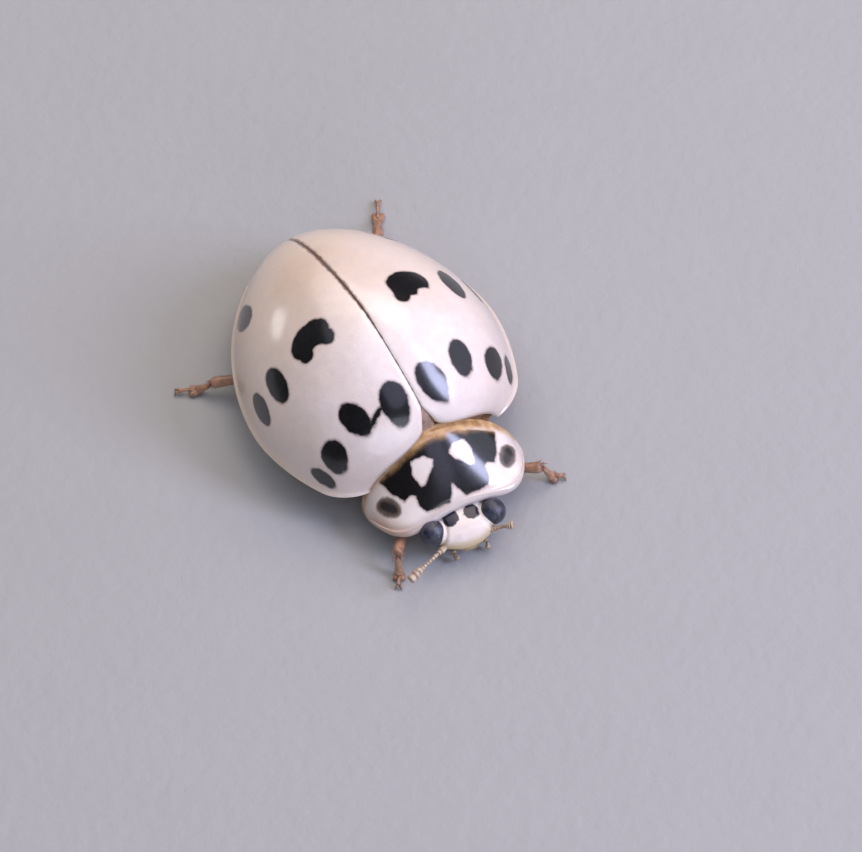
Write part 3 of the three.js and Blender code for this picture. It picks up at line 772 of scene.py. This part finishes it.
def shield():
    """The marked shield: a bowed sheet with a beaded rim, its front corners drawn forward."""
    columns, rows = 121, 71
    across = np.sin(np.linspace(-0.5, 0.5, columns) * math.pi * 0.985)[:, None]
    a = np.abs(across)
    close = 1 - np.sqrt(np.maximum(0, 1 - a**8))
    rear = -0.12 + 0.12 * a**8 + 0.2 * close
    front = SHIELD_LENGTH + 0.07 * np.sin(math.pi * a * a) - 0.24 * a**4 - 0.26 * a**8 - 0.14 * close
    forward = lerp(rear, front, even_but_finer_at_ends(rows, 0.5)[None, :])
    u = across * SHIELD_HALF_WIDTH + 0 * forward
    from_edge = np.minimum(np.minimum(forward - rear, front - forward), (1 - a) * 1.6 + 0.01)
    bead = 0.014 * swell(from_edge, 0.03, 0.025) - 0.01 * swell(from_edge, 0.085, 0.035)
    z = shield_top(u, forward) + bead - 0.1 * np.exp(-(forward - rear) / 0.09)
    top = np.stack([u, -forward, z], -1)
    thickness = 0.07 + 0.16 * smooth(from_edge, 0.02, 0.35)
    bottom = top * [0.985, 1, 1] - thickness[..., None] * [0, 0, 1]
    beside = np.abs(u - MARK_MIDDLE)
    values = {
        "mark": mark_distance(beside, forward),
        "side_spot": spot_distance(beside, forward, SIDE_SPOT),
        "rear": forward - rear - (0.12 + 0.03 * smooth(-u, 0.0, 0.5)) * (1 - a**6),
        # the next two values drive greyer edges (partly thin cuticle, partly painted shade) and painted shade
        # at the right front
        "margin": np.minimum(front - forward, (1 - a) * 0.8),
        "corner": (front - forward) * 0.8 + 0.5 * np.abs(u + 1.15),
    }
    points, faces, place = sheet(top, bottom, bulge=0.8)
    skin = Skin(*values)
    values = {name: (value + 0 * u).ravel()[place] for name, value in values.items()}
    skin.add(turned(points, SHIELD_YAW) + SHIELD_PIVOT, faces, **values)
    return skin.piece("shield_plate", shield_finish(), "pronotum", "pronotum")


# ---- Head ----

# Each lobe of the head: its centre and its half-sizes, in mm from the middle of the head.
HEAD_LOBES = [
    ((0, 0, -0.06), (0.6, 0.44, 0.25)),
    ((0, -0.17, -0.07), (0.5, 0.33, 0.24)),
    ((0, -0.3, -0.13), (0.32, 0.2, 0.13)),
]
EYE_PLACE = np.array([0.5, -0.15, 0.04])
EYE_SIZE = np.array([0.2, 0.21, 0.21])
FACETS = 900  # of a whole ball, somewhat fewer than in life, so that they show
LOBE_BLEND = 16  # the higher, the sharper the lobes meet
VERTEX_SPOT = (0.17, -0.1, 0.125)  # across, behind the middle, radius
VERTEX_STRETCH = 0.55  # the spot of the right side is drawn out towards the shield by this share


def on_head(points):
    return turned(points, HEAD_YAW) + HEAD_CENTRE


def head_radius(directions):
    """How far the head reaches each way: its lobes, blended."""
    total = 0
    for centre, size in HEAD_LOBES:
        ray, middle = directions / size, np.array(centre) / size
        a, b = (ray * ray).sum(1), (ray * middle).sum(1)
        inside = b * b - a * ((middle * middle).sum() - 1)
        reach = np.where(inside > 0, (b + np.sqrt(np.maximum(inside, 0))) / a, 0)
        total = total + np.maximum(reach, 0) ** LOBE_BLEND
    return total ** (1 / LOBE_BLEND)


def head():
    """The head capsule, with a socket round each eye, a low brow and a fine line across the face."""
    directions, faces = ball(6)
    points = directions * head_radius(directions)[:, None]
    normals = unit(points / np.array(HEAD_LOBES[0][1]) ** 2)
    x, y, z = points.T
    mirrored = np.abs(x)
    eye_distance = np.linalg.norm((np.stack([mirrored, y, z], -1) - EYE_PLACE) / (EYE_SIZE + 0.02), axis=1)
    socket = -0.03 * swell(eye_distance, 1.08, 0.14)
    canthus = 0.03 * swell(np.hypot(mirrored - 0.36, y + 0.3), 0, 0.1)
    clypeus_line = -0.006 * swell(y + 0.33 - 0.12 * mirrored**2, 0, 0.018) * smooth(0.36 - mirrored, 0, 0.08)
    brow = 0.012 * swell(np.hypot(mirrored - 0.2, y + 0.2), 0, 0.16)
    points = points + normals * (socket + canthus + clypeus_line + brow)[:, None]
    across, behind, radius = VERTEX_SPOT
    lengthwise = points[:, 1] - behind
    lengthwise = np.where((points[:, 0] < 0) & (lengthwise > 0), lengthwise * VERTEX_STRETCH, lengthwise)
    spot = np.hypot(mirrored - across, lengthwise) - radius
    mark = np.where(points[:, 2] > -0.06, spot, FAR)
    mouth = points[:, 2] + 0.15 + 0.5 * np.maximum(0, points[:, 1] + 0.34)
    skin = Skin("mark", "mouth")
    skin.add(on_head(points), faces, mark=mark, mouth=mouth)
    return skin.piece("head_capsule", head_finish(), "head", "head")


def eye(side_name):
    """A compound eye: an even ball whose facets are small domes set in a spiral."""
    directions, faces = ball(6)
    k = np.arange(FACETS) + 0.5
    height = 1 - 2 * k / FACETS
    around = k * math.pi * (1 + math.sqrt(5))
    level = np.sqrt(1 - height**2)
    centres = np.stack([np.cos(around) * level, np.sin(around) * level, height], -1)
    nearest = np.concatenate([(block @ centres.T).max(axis=1) for block in np.array_split(directions, 20)])
    away = np.arccos(np.clip(nearest, -1, 1)) / math.sqrt(4 / FACETS)
    points = directions * (0.985 + 0.03 * (1 - away**2))[:, None] * EYE_SIZE
    skin = Skin()
    skin.add(on_head(points + EYE_PLACE * [SIDES[side_name], 1, 1]), faces)
    return skin.piece("eye_facets_" + side_name, eye_finish(), "eyes", "eye_" + side_name)


PALP_JOINTS = [(0.2, -0.26, -0.28), (0.25, -0.35, -0.33), (0.28, -0.41, -0.35), (0.25, -0.52, -0.4)]


def mouthparts():
    """Upper lip, and a pair of palps with hatchet-shaped ends."""
    brown = limb_finish("palp_cuticle", "lady_head", "feelers", "feeler_joints")
    across = np.linspace(-0.97, 0.97, 33)[None, :]
    share = np.linspace(0, 1, 16)[:, None] * (1 - 0.45 * across**4)
    x = 0.22 * across * (1 - 0.25 * share**2)
    y = -0.36 - 0.115 * share * (1 - 0.45 * across**2) + 0.012 * share * swell(across, 0, 0.18)
    z = -0.14 - 0.14 * share**1.8 - 0.05 * across**2
    top = np.stack([x, y, z], -1)
    points, faces, _ = sheet(top, top + [0, 0.035, -0.05], bulge=0.8)
    lip = Skin("joint")
    lip.add(on_head(points), faces)
    rng = np.random.default_rng(5)
    edge = on_head(top[-1, 2:-2])
    hairs(lip, edge, np.tile(turned([[0, -1, -0.9]], HEAD_YAW), (len(edge), 1)), 0.04, 0.005, rng)
    yellow = limb_finish("labrum_cuticle", "lady_head", "yellow", "feeler_joints")
    lip.piece("labrum_plate", yellow, "mouthparts", "labrum")
    for side_name, side in SIDES.items():
        skin = Skin("joint")
        root, elbow, wrist, tip = (on_head(np.array(place) * [side, 1, 1]) for place in PALP_JOINTS)
        add_limb(skin, limb(root, elbow, [(0, 0.032), (1, 0.046)]))
        add_limb(skin, limb(elbow, wrist, [(0, 0.036), (1, 0.046)]))
        hatchet = limb(wrist, tip, [(0, 0.036), (0.3, 0.055), (0.8, 0.1), (1, 0.1)], flat=0.5, cap=0.35)
        add_limb(skin, hatchet, rng, 16, 0.03, thickness=0.004)
        skin.piece("palp_" + side_name + "_joints", brown, "mouthparts", "palp_" + side_name)


FEELER_ROOT = np.array([0.37, -0.38, -0.09])
# Length and radius of each of the eleven joints of a feeler, from the root; the last three are the club.
FEELER_JOINTS = [
    (0.17, 0.05), (0.09, 0.04), (0.11, 0.029), (0.08, 0.027), (0.08, 0.026), (0.07, 0.026), (0.07, 0.028),
    (0.06, 0.034), (0.09, 0.06), (0.09, 0.078), (0.11, 0.07),
]
CLUB_START = 8
JOINT_RADII = ((0, 0.62), (0.72, 1.0), (1, 0.86))  # of a feeler's joint: shares of its length and radius
CLUB_REACH = {"right": 0.08, "left": 0.03}  # how far the club goes past the middle of the club of the frame


def feeler(side_name):
    """One feeler: a slender bent stalk and a close-set club of three joints."""
    side = SIDES[side_name]
    root = on_head(FEELER_ROOT * [side, 1, 1])
    club = sum(node_box("antenna_club_" + side_name)) / 2 - ORIGIN
    elbow = sum(node_box("antenna_" + side_name)) / 2 - ORIGIN
    tip = club + unit(club - elbow) * CLUB_REACH[side_name]
    lengths, radii = np.array(FEELER_JOINTS).T
    shares = np.concatenate([[0], np.cumsum(lengths)]) / lengths.sum()
    bend = lerp(root, club, 0.5) + [0, -0.03, 0.07]
    path = [(1 - t) ** 2 * root + 2 * t * (1 - t) * bend + t * t * tip for t in shares]
    skin = Skin("joint")
    rng = np.random.default_rng(11 + side)
    for number, (start, end, radius) in enumerate(zip(path, path[1:], radii)):
        in_club = number >= CLUB_START
        tip = lerp(start, end, 1.3 if in_club else 1.12)
        joint = limb(start, tip, scaled(JOINT_RADII, radius), flat=1.15, rings=14, sides=16)
        add_limb(skin, joint, rng, 40 if in_club else 8, 0.03, lean=1.4, thickness=0.004)
    finish = limb_finish("feeler_cuticle_" + side_name, "lady_head", "feelers", "feeler_joints", reach=0.02)
    nodes = "antenna_" + side_name, "antenna_club_" + side_name
    return skin.piece("feeler_" + side_name, finish, "antennae", *nodes)


# ---- Legs ----

ANKLE_DROP = 0.05  # how far the shank reaches below the ankle of the frame
KNEE_SHIFT = {"front_right": np.array([0.12, 0.0, 0.0])}  # the knee stands off the middle of the frame's
# Shares of a segment's length with shares of its radius there.
THIGH_RADII = ((0, 0.5), (0.12, 0.7), (0.45, 1.0), (0.75, 0.88), (0.93, 0.62), (1, 0.54))
SHANK_RADII = ((0, 0.6), (0.08, 0.7), (0.3, 0.8), (0.6, 0.92), (0.86, 1.04), (0.95, 1.0), (1, 0.85))


def heading(way):
    """The level direction of a way, and the level direction across it."""
    ahead = unit(way * [1, 1, 0])
    return ahead, np.array([-ahead[1], ahead[0], 0])


def leg(name, finish, seed):
    """One leg: hip, thigh with its small ring joint, shank with two spurs, and a foot of four joints."""
    settings = bpy.context.scene.lady_legs
    thigh_radius, shank_radius = settings.thigh / MM / 2, settings.shank / MM / 2
    hair = settings.hair / MM
    rng = np.random.default_rng(seed)
    low, high = node_box("coxa_" + name)
    hip = (low + high) / 2 - ORIGIN
    knee = far_end("femur_" + name, hip, 0.01)
    ankle = far_end("tibia_" + name, knee, 0.01)
    toe = far_end("tarsus_" + name, ankle, 0.03)
    knee = knee + KNEE_SHIFT.get(name, 0)

    skin = Skin("joint")
    inward = unit(np.array([-hip[0], 0.3, 0]))
    outer = hip - inward * 0.22 - [0, 0, 0.04]
    add_limb(skin, limb(hip + inward * 0.2, outer, [(0, 0.15), (0.5, 0.24), (1, 0.13)], cap=1.0))
    skin.piece("hip_" + name, finish, "legs", "coxa_" + name)

    skin = Skin("joint")
    along = unit(knee - hip)
    ring_joint = hip + along * 0.16
    add_limb(skin, limb(ring_joint, ring_joint + along * 0.17, [(0, 0.09), (0.5, 0.12), (1, 0.1)], rings=14))
    radii = scaled(THIGH_RADII, thigh_radius)
    thigh = limb(ring_joint + along * 0.1, knee, radii, bow=(0, 0, 0.04), flat=0.8, rings=44, sides=28)
    add_limb(skin, thigh, rng, 60, hair * 0.8, lean=1.5)
    skin.piece("thigh_" + name, finish, "legs", "femur_" + name)

    skin = Skin("joint")
    bow = 0.03 * unit(np.cross(ankle - knee, [0, 0, 1]))
    end = ankle - [0, 0, ANKLE_DROP]
    radii = scaled(SHANK_RADII, shank_radius)
    shank = limb(lerp(knee, hip, 0.05), end, radii, bow=bow, flat=0.85, cap=0.75, rings=40, sides=24)
    add_limb(skin, shank, rng, 150, hair)
    ahead, across = heading(toe - ankle)
    for sign in (-1, 1):
        root = end + across * sign * shank_radius * 0.6
        tip = root + ahead * 0.08 - [0, 0, 0.06] + across * sign * 0.02
        add_limb(skin, limb(root, tip, [(0, 0.013), (1, 0.004)], rings=8, sides=8))
    skin.piece("shank_" + name, finish, "legs", "tibia_" + name)
    foot(name, finish, end, toe, rng)


def foot(name, finish, ankle, toe, rng):
    """Four joints, the second a wide pad of two lobes with the small third between them,
    and two hooked claws. The pads and the claws stand on the floor."""
    _, across = heading(toe - ankle)
    run, heel = (toe - ankle) * [1, 1, 0], ankle * [1, 1, 0]

    def place(share, height, aside=0.0):
        return heel + run * share + across * aside + [0, 0, height]

    skin = Skin("joint")
    stops = [(0, 0.034), (0.5, 0.046), (1, 0.062)]
    first = limb(place(0.0, ankle[2] - 0.03), place(0.4, 0.075), stops, flat=1.25)
    add_limb(skin, first, rng, 40, 0.045)
    for sign in (-1, 1):
        stops = [(0, 0.034), (0.55, 0.05), (1, 0.042)]
        lobe = limb(place(0.28, 0.075, sign * 0.012), place(0.66, 0.03, sign * 0.062), stops, flat=1.2)
        add_limb(skin, lobe, rng, 46, 0.04, thickness=0.005)
    add_limb(skin, limb(place(0.48, 0.075), place(0.64, 0.08), [(0, 0.03), (1, 0.032)]))
    stops = [(0, 0.02), (0.6, 0.03), (0.9, 0.036), (1, 0.032)]
    last = limb(place(0.56, 0.078), place(0.98, 0.07), stops, bow=(0, 0, 0.02))
    add_limb(skin, last, rng, 16, 0.04)
    for sign in (-1, 1):
        root = place(0.94, 0.068, sign * 0.014)
        knuckle = place(1.06, 0.062, sign * 0.04)
        for start, end, stops in (
            (root, knuckle, [(0, 0.022), (1, 0.019)]),
            (lerp(root, knuckle, 0.9), place(1.1, 0.0, sign * 0.055), [(0, 0.019), (1, 0.005)]),
            (lerp(root, knuckle, 0.6), place(1.02, 0.022, sign * 0.03), [(0, 0.015), (1, 0.005)]),
        ):
            add_limb(skin, limb(start, end, stops, bow=(0, 0, 0.006), cap=1.0, rings=12, sides=10))
    skin.piece("foot_" + name, finish, "legs", "tarsus_" + name)


# ---- Underside ----

BELLY_DEPTH = 0.36
BELLY_INSET = 0.27
BELLY_END_Y = 2.6
BACK_DEPTHS = (0.14, 0.17)  # how far the back stays under the wing cases, and how much more at the sides
BACK_POINTS = 61  # of a ring, on its back
PLATE_GAP = 0.012
PLATE_RISE = 0.035
BREAST_CENTRE, BREAST_SIZE = [-0.08, -2.12, 0.62], [0.9, 0.56, 0.37]
SEGMENT_LENGTHS = (0.62, 0.36, 0.33, 0.3, 0.37)  # of the plates of the abdomen, front to back


def trunk_rings(stations, relief, front_tuck):
    """Closed rings: a back that fills the wing cases, and a belly with relief(y, across)."""
    upper = np.linspace(-1, 1, BACK_POINTS)
    lower = np.linspace(0, math.pi, BACK_POINTS)[1:-1]
    rings = []
    for y in stations:
        depth = BACK_DEPTHS[0] + BACK_DEPTHS[1] * np.abs(upper) ** 6 + front_tuck * smooth(-y, 1.4, 1.75)
        back = dome_point(np.full_like(upper, y), np.abs(upper), depth)
        x = np.sign(upper) * back[:, 0]
        top = np.stack([x, np.full_like(x, y), np.maximum(back[:, 2], RIM_Z + 0.02)], -1)
        half = max(0.05, dome_point(np.array(y), np.array(1.0), np.array(BELLY_INSET))[0])
        drop = BELLY_DEPTH * min(1, half / (HALF_WIDTH - BELLY_INSET)) ** 0.7
        across = np.cos(lower)
        z = RIM_Z - 0.02 - drop * np.sin(lower) ** 0.7 + relief(y, across)
        belly = np.stack([half * across, np.full_like(across, y), z], -1)
        rings.append(np.concatenate([top, belly]))
    return np.array(rings)


def abdomen_relief(y, across):
    """Overlapping plates: each rises a little to its rear edge and steps down to the next."""
    edges = WAIST_Y + np.concatenate([[0], np.cumsum(SEGMENT_LENGTHS)])
    bent = y + 0.05 * across**2
    place = np.clip(np.searchsorted(edges, bent, side="right") - 1, 0, len(SEGMENT_LENGTHS) - 1)
    share = np.clip((bent - edges[place]) / np.diff(edges)[place], 0, 1)
    return PLATE_GAP - PLATE_RISE * share**1.5


def thorax_relief(y, across):
    """Breast plates: a groove down the middle, a seam across, another seam near the rear and one down each
    side.
    """
    groove = 0.025 * swell(across, 0, 0.02)
    seam = 0.03 * swell(y + 0.72 + 0.15 * across**2, 0, 0.03)
    rear = 0.03 * swell(y - 0.3 + 0.1 * np.abs(across), 0, 0.03)
    side_seam = 0.025 * swell(np.abs(across) - 0.72, 0, 0.03)
    return groove + seam + rear + side_seam


def underside():
    """The breast and the abdomen in their plates, with short hairs, and the breast between the forelegs."""
    finish = limb_finish("ventral_cuticle", "lady_legs", "belly", "belly_dark", 0.45, 0.16)
    rng = np.random.default_rng(23)
    for name, node, start, end, relief, tuck in (
        ("breast_plates", "thorax", FRONT_Y - 0.1, WAIST_Y - PLATE_GAP, thorax_relief, 0.2),
        ("abdomen_plates", "abdomen", WAIST_Y + PLATE_GAP, BELLY_END_Y, abdomen_relief, 0.0),
    ):
        rings = trunk_rings(lerp(start, end, np.linspace(0, 1, 120)), relief, tuck)
        points, faces = closed_tube(rings, rings[[0, -1]].mean(axis=1))
        skin = Skin("joint")
        skin.add(points, faces, joint=0.08 + 0.25 * (1 - np.abs(points[:, 0]) / HALF_WIDTH))
        belly = rings[4:-4, BACK_POINTS + 5 : -6].reshape(-1, 3)
        roots = belly[rng.choice(len(belly), 260, replace=False)]
        hairs(skin, roots, np.tile([0, 1.0, -0.5], (len(roots), 1)), 0.07, 0.006, rng)
        skin.piece(name, finish, "underside", node)

    directions, faces = ball(5)
    points = directions * BREAST_SIZE * (1 - 0.12 * swell(directions[:, :1], 0, 0.05))
    skin = Skin("joint")
    skin.add(turned(points, SHIELD_YAW) + BREAST_CENTRE, faces, joint=0.15)
    skin.piece("breast_front", finish, "underside", "prosternum")


# ---- Settings ----


def tint(name, description, default):
    return bpy.props.FloatVectorProperty(
        name=name, description=description, default=linear(default), subtype="COLOR", size=3, min=0, max=1
    )


def size(name, description, millimetres):
    return bpy.props.FloatProperty(
        name=name, description=description, default=millimetres * MM, min=0, unit="LENGTH", precision=5
    )


def power(name, description, watts):
    return bpy.props.FloatProperty(name=name, description=description, default=watts, min=0, unit="POWER")


class LadyWingCases(bpy.types.PropertyGroup):
    ivory: tint("Ivory", "Main colour of the wing cases", "#F1E4DF")
    warm_ivory: tint("Warm Ivory", "Colour of the rear half of the wing cases", "#EBD6C4")
    spots: tint("Spots", "Colour of the spots", "#060508")
    seam: tint("Seam", "Colour of the edges that meet along the back", "#6B4A3A")
    plate: tint("Plate", "Colour of the small plate between the wing cases", "#B0917F")
    spot_size: bpy.props.FloatProperty(
        name="Spot Size",
        description="Size of the spots, as a share of their usual size",
        default=1,
        min=0.1,
        max=1.5,
    )


class LadyShield(bpy.types.PropertyGroup):
    cream: tint("Cream", "Main colour of the shield", "#EFE3DC")
    black: tint("Black", "Colour of the marks of the shield", "#070506")
    amber: tint("Amber", "Colour of the rear edge of the shield", "#D6AE78")


class LadyHead(bpy.types.PropertyGroup):
    cream: tint("Cream", "Main colour of the head", "#EBDFD8")
    black: tint("Black", "Colour of the two spots of the head", "#191930")
    yellow: tint("Yellow", "Colour of the front edge and the lip", "#C9B384")
    eyes: tint("Eyes", "Colour of the eyes", "#181B29")
    feelers: tint("Feelers", "Colour of the feelers and palps", "#CDB9A4")
    feeler_joints: tint("Feeler Joints", "Colour of the joints of the feelers and palps", "#8E745E")


class LadyLegs(bpy.types.PropertyGroup):
    thigh: size("Thigh", "Thickness of the thighs", 0.32)
    shank: size("Shank", "Thickness of the shanks", 0.2)
    hair: size("Hair", "Length of the hairs on the legs", 0.07)
    amber: tint("Amber", "Main colour of the legs", "#B08468")
    brown: tint("Brown", "Colour of the joints of the legs", "#6B4836")
    belly: tint("Belly", "Colour of the edges of the underside", "#A9784C")
    belly_dark: tint("Dark Belly", "Colour of the middle of the underside", "#5A3A24")


class LadyStage(bpy.types.PropertyGroup):
    floor: tint("Floor", "Colour of the floor", "#A9AAAB")
    key_light: power("Key Light", "Power of the main light, at the left in front", 0.078)
    low_light: power("Low Light", "Power of the dim low light at the left", 0.011)
    side_light: power("Side Light", "Power of the light at the upper left", 0.092)
    front_glow: power("Front Glow", "Power of the small light in front", 0.011)
    front_fill: power("Front Fill", "Power of the soft low light in front", 0.046)
    top_light: power("Top Light", "Power of the light above", 0.072)
    rear_light: power("Rear Light", "Power of the light behind", 0.03)
    rim_light: power("Rim Light", "Power of the small light low behind", 0.004)
    surround: bpy.props.FloatProperty(
        name="Surround", description="Strength of the light from all round", default=0.06, min=0
    )


# ---- Operators ----


class LADY_OT_wing_cases(bpy.types.Operator):
    """Make the two spotted wing cases and the small plate between them"""

    bl_idname = "lady_beetle.wing_cases"
    bl_label = "Wing Cases"

    def execute(self, context):
        for side_name in SIDES:
            wing_case(side_name)
        scutellum()
        return {"FINISHED"}


class LADY_OT_shield(bpy.types.Operator):
    """Make the marked shield behind the head"""

    bl_idname = "lady_beetle.shield"
    bl_label = "Shield"

    def execute(self, context):
        shield()
        return {"FINISHED"}


class LADY_OT_head(bpy.types.Operator):
    """Make the head, its eyes and its mouthparts"""

    bl_idname = "lady_beetle.head"
    bl_label = "Head and Eyes"

    def execute(self, context):
        head()
        for side_name in SIDES:
            eye(side_name)
        mouthparts()
        return {"FINISHED"}


class LADY_OT_feelers(bpy.types.Operator):
    """Make the two clubbed feelers"""

    bl_idname = "lady_beetle.feelers"
    bl_label = "Feelers"

    def execute(self, context):
        for side_name in SIDES:
            feeler(side_name)
        return {"FINISHED"}


class LADY_OT_legs(bpy.types.Operator):
    """Make the six hairy legs"""

    bl_idname = "lady_beetle.legs"
    bl_label = "Legs"

    def execute(self, context):
        finish = limb_finish("leg_cuticle", "lady_legs", "amber", "brown")
        names = [f"{pair}_{side_name}" for pair in ("front", "middle", "hind") for side_name in SIDES]
        for seed, name in enumerate(names):
            leg(name, finish, seed)
        return {"FINISHED"}


class LADY_OT_underside(bpy.types.Operator):
    """Make the breast plates and the ringed abdomen"""

    bl_idname = "lady_beetle.underside"
    bl_label = "Underside"

    def execute(self, context):
        underside()
        return {"FINISHED"}


# ---- Stage ----

VIEW_TURN, VIEW_HEIGHT, VIEW_ROLL = -22.656, 58.236, -10.728  # degrees
VIEW_DISTANCE = 67.1  # mm, from the middle of the rim plane
VIEW_SCALE = 63.29  # units of the picture in a millimetre at that distance
PICTURE_WIDTH = 862
VIEW_AIM = (56, 51)  # how many units the picture's middle lies to the right of and below that middle
SENSOR = 36.0
CLIP = (0.002, 5)
# Soft lights: turn and height in degrees, distance and the two widths in metres, colour, and roll in degrees.
LIGHTS = {
    "key_light": (43.5, 33, 0.1, (0.026, 0.07), "#D6DAFF", -26),
    "low_light": (76, 20, 0.1, (0.07, 0.06), "#E4E8FF", 0),
    "side_light": (108, 60, 0.13, (0.12, 0.12), "#FFEAD8", 0),
    "front_glow": (2, 54, 0.12, (0.06, 0.06), "#D8D8FF", 0),
    "front_fill": (-15, 14, 0.12, (0.12, 0.075), "#EAF2FF", 0),
    "top_light": (180, 76, 0.13, (0.2, 0.2), "#EEF0FF", 0),
    "rear_light": (180, 45, 0.13, (0.1, 0.1), "#FFF0DC", 0),
    "rim_light": (-146, 7, 0.1, (0.02, 0.02), "#FFFFFF", 0),
}
SURROUND_TONE = "#F1F2F5"
FLOOR_HALF = 0.5  # metres


def direction(turn, height):
    """From the beetle: turn is 0 straight in front of it and grows towards its left."""
    turn, height = math.radians(turn), math.radians(height)
    return Vector((math.sin(turn) * math.cos(height), -math.cos(turn) * math.cos(height), math.sin(height)))


def camera():
    """A camera that looks at the beetle from above its front, turned in its own plane."""
    turn, roll = math.radians(VIEW_TURN), math.radians(VIEW_ROLL)
    back = direction(VIEW_TURN, VIEW_HEIGHT)
    level = Vector((math.cos(turn), math.sin(turn), 0))
    up = back.cross(level)
    right_hand = math.cos(roll) * level + math.sin(roll) * up
    upward = math.cos(roll) * up - math.sin(roll) * level
    middle = Vector((*ORIGIN[:2], RIM_Z))
    place = middle + back * VIEW_DISTANCE
    aim = middle + (right_hand * VIEW_AIM[0] - upward * VIEW_AIM[1]) / VIEW_SCALE
    made = bpy.data.objects.new("studio_camera", bpy.data.cameras.new("studio_camera"))
    look = (aim - place).normalized()
    across = look.cross(upward).normalized()
    rise = across.cross(look)
    rows = [(across[i], rise[i], -look[i], place[i] * MM) for i in range(3)]
    made.matrix_world = Matrix([*rows, (0, 0, 0, 1)])
    made.data.sensor_width = SENSOR
    made.data.lens = SENSOR * VIEW_SCALE * VIEW_DISTANCE / PICTURE_WIDTH
    made.data.clip_start, made.data.clip_end = CLIP
    bpy.context.scene.collection.objects.link(made)
    bpy.context.scene.camera = made


def softbox(name, watts, turn, height, distance, size, tone, roll):
    """An oval soft light that faces the beetle."""
    way = direction(turn, height)
    data = bpy.data.lights.new(name, "AREA")
    data.shape = "ELLIPSE"
    data.size, data.size_y = size
    data.energy = watts
    data.color = linear(tone)
    made = bpy.data.objects.new(name, data)
    made.location = way * distance
    made.rotation_mode = "QUATERNION"
    made.rotation_quaternion = way.to_track_quat("Z", "Y") @ Quaternion((0, 0, 1), math.radians(roll))
    bpy.context.scene.collection.objects.link(made)


class LADY_OT_stage(bpy.types.Operator):
    """Make the floor, the lights and the camera"""

    bl_idname = "lady_beetle.stage"
    bl_label = "Stage"

    def execute(self, context):
        settings = context.scene.lady_stage
        mesh = bpy.data.meshes.new("studio_floor")
        corners = [(x * FLOOR_HALF, y * FLOOR_HALF, 0) for x, y in ((-1, -1), (1, -1), (1, 1), (-1, 1))]
        mesh.from_pydata(corners, [], [(0, 1, 2, 3)])
        mesh.materials.append(floor_finish())
        floor = bpy.data.objects.new("studio_floor", mesh)
        context.scene.collection.objects.link(floor)
        for name, values in LIGHTS.items():
            softbox(name, getattr(settings, name), *values)
        world = bpy.data.worlds.new("studio_surround")
        world.use_nodes = True
        background = world.node_tree.nodes["Background"].inputs
        background["Color"].default_value = (*linear(SURROUND_TONE), 1)
        background["Strength"].default_value = settings.surround
        context.scene.world = world
        context.scene.view_settings.view_transform = "Standard"
        camera()
        return {"FINISHED"}


OPERATORS = (
    LADY_OT_wing_cases,
    LADY_OT_shield,
    LADY_OT_head,
    LADY_OT_feelers,
    LADY_OT_legs,
    LADY_OT_underside,
    LADY_OT_stage,
)
SETTINGS = {
    "lady_wing_cases": LadyWingCases,
    "lady_shield": LadyShield,
    "lady_head": LadyHead,
    "lady_legs": LadyLegs,
    "lady_stage": LadyStage,
}


class LADY_PT_panel(bpy.types.Panel):
    """Sizes, colours and buttons of the lady beetle"""

    bl_label = "Lady Beetle"
    bl_idname = "LADY_PT_panel"
    bl_space_type = "VIEW_3D"
    bl_region_type = "UI"
    bl_category = "Lady Beetle"

    def draw(self, context):
        for group_name, group in SETTINGS.items():
            box = self.layout.box()
            for name in group.__annotations__:
                box.prop(getattr(context.scene, group_name), name)
        for operator in OPERATORS:
            self.layout.operator(operator.bl_idname)


def register():
    for group_name, group in SETTINGS.items():
        bpy.utils.register_class(group)
        setattr(bpy.types.Scene, group_name, bpy.props.PointerProperty(type=group))
    for kind in (*OPERATORS, LADY_PT_panel):
        bpy.utils.register_class(kind)


def unregister():
    for kind in reversed((*OPERATORS, LADY_PT_panel)):
        bpy.utils.unregister_class(kind)
    for group_name, group in SETTINGS.items():
        delattr(bpy.types.Scene, group_name)
        bpy.utils.unregister_class(group)


def main():
    register()
    for step in ("wing_cases", "shield", "head", "feelers", "legs", "underside", "stage"):
        getattr(bpy.ops.lady_beetle, step)()
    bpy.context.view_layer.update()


if __name__ == "__main__":
    main()
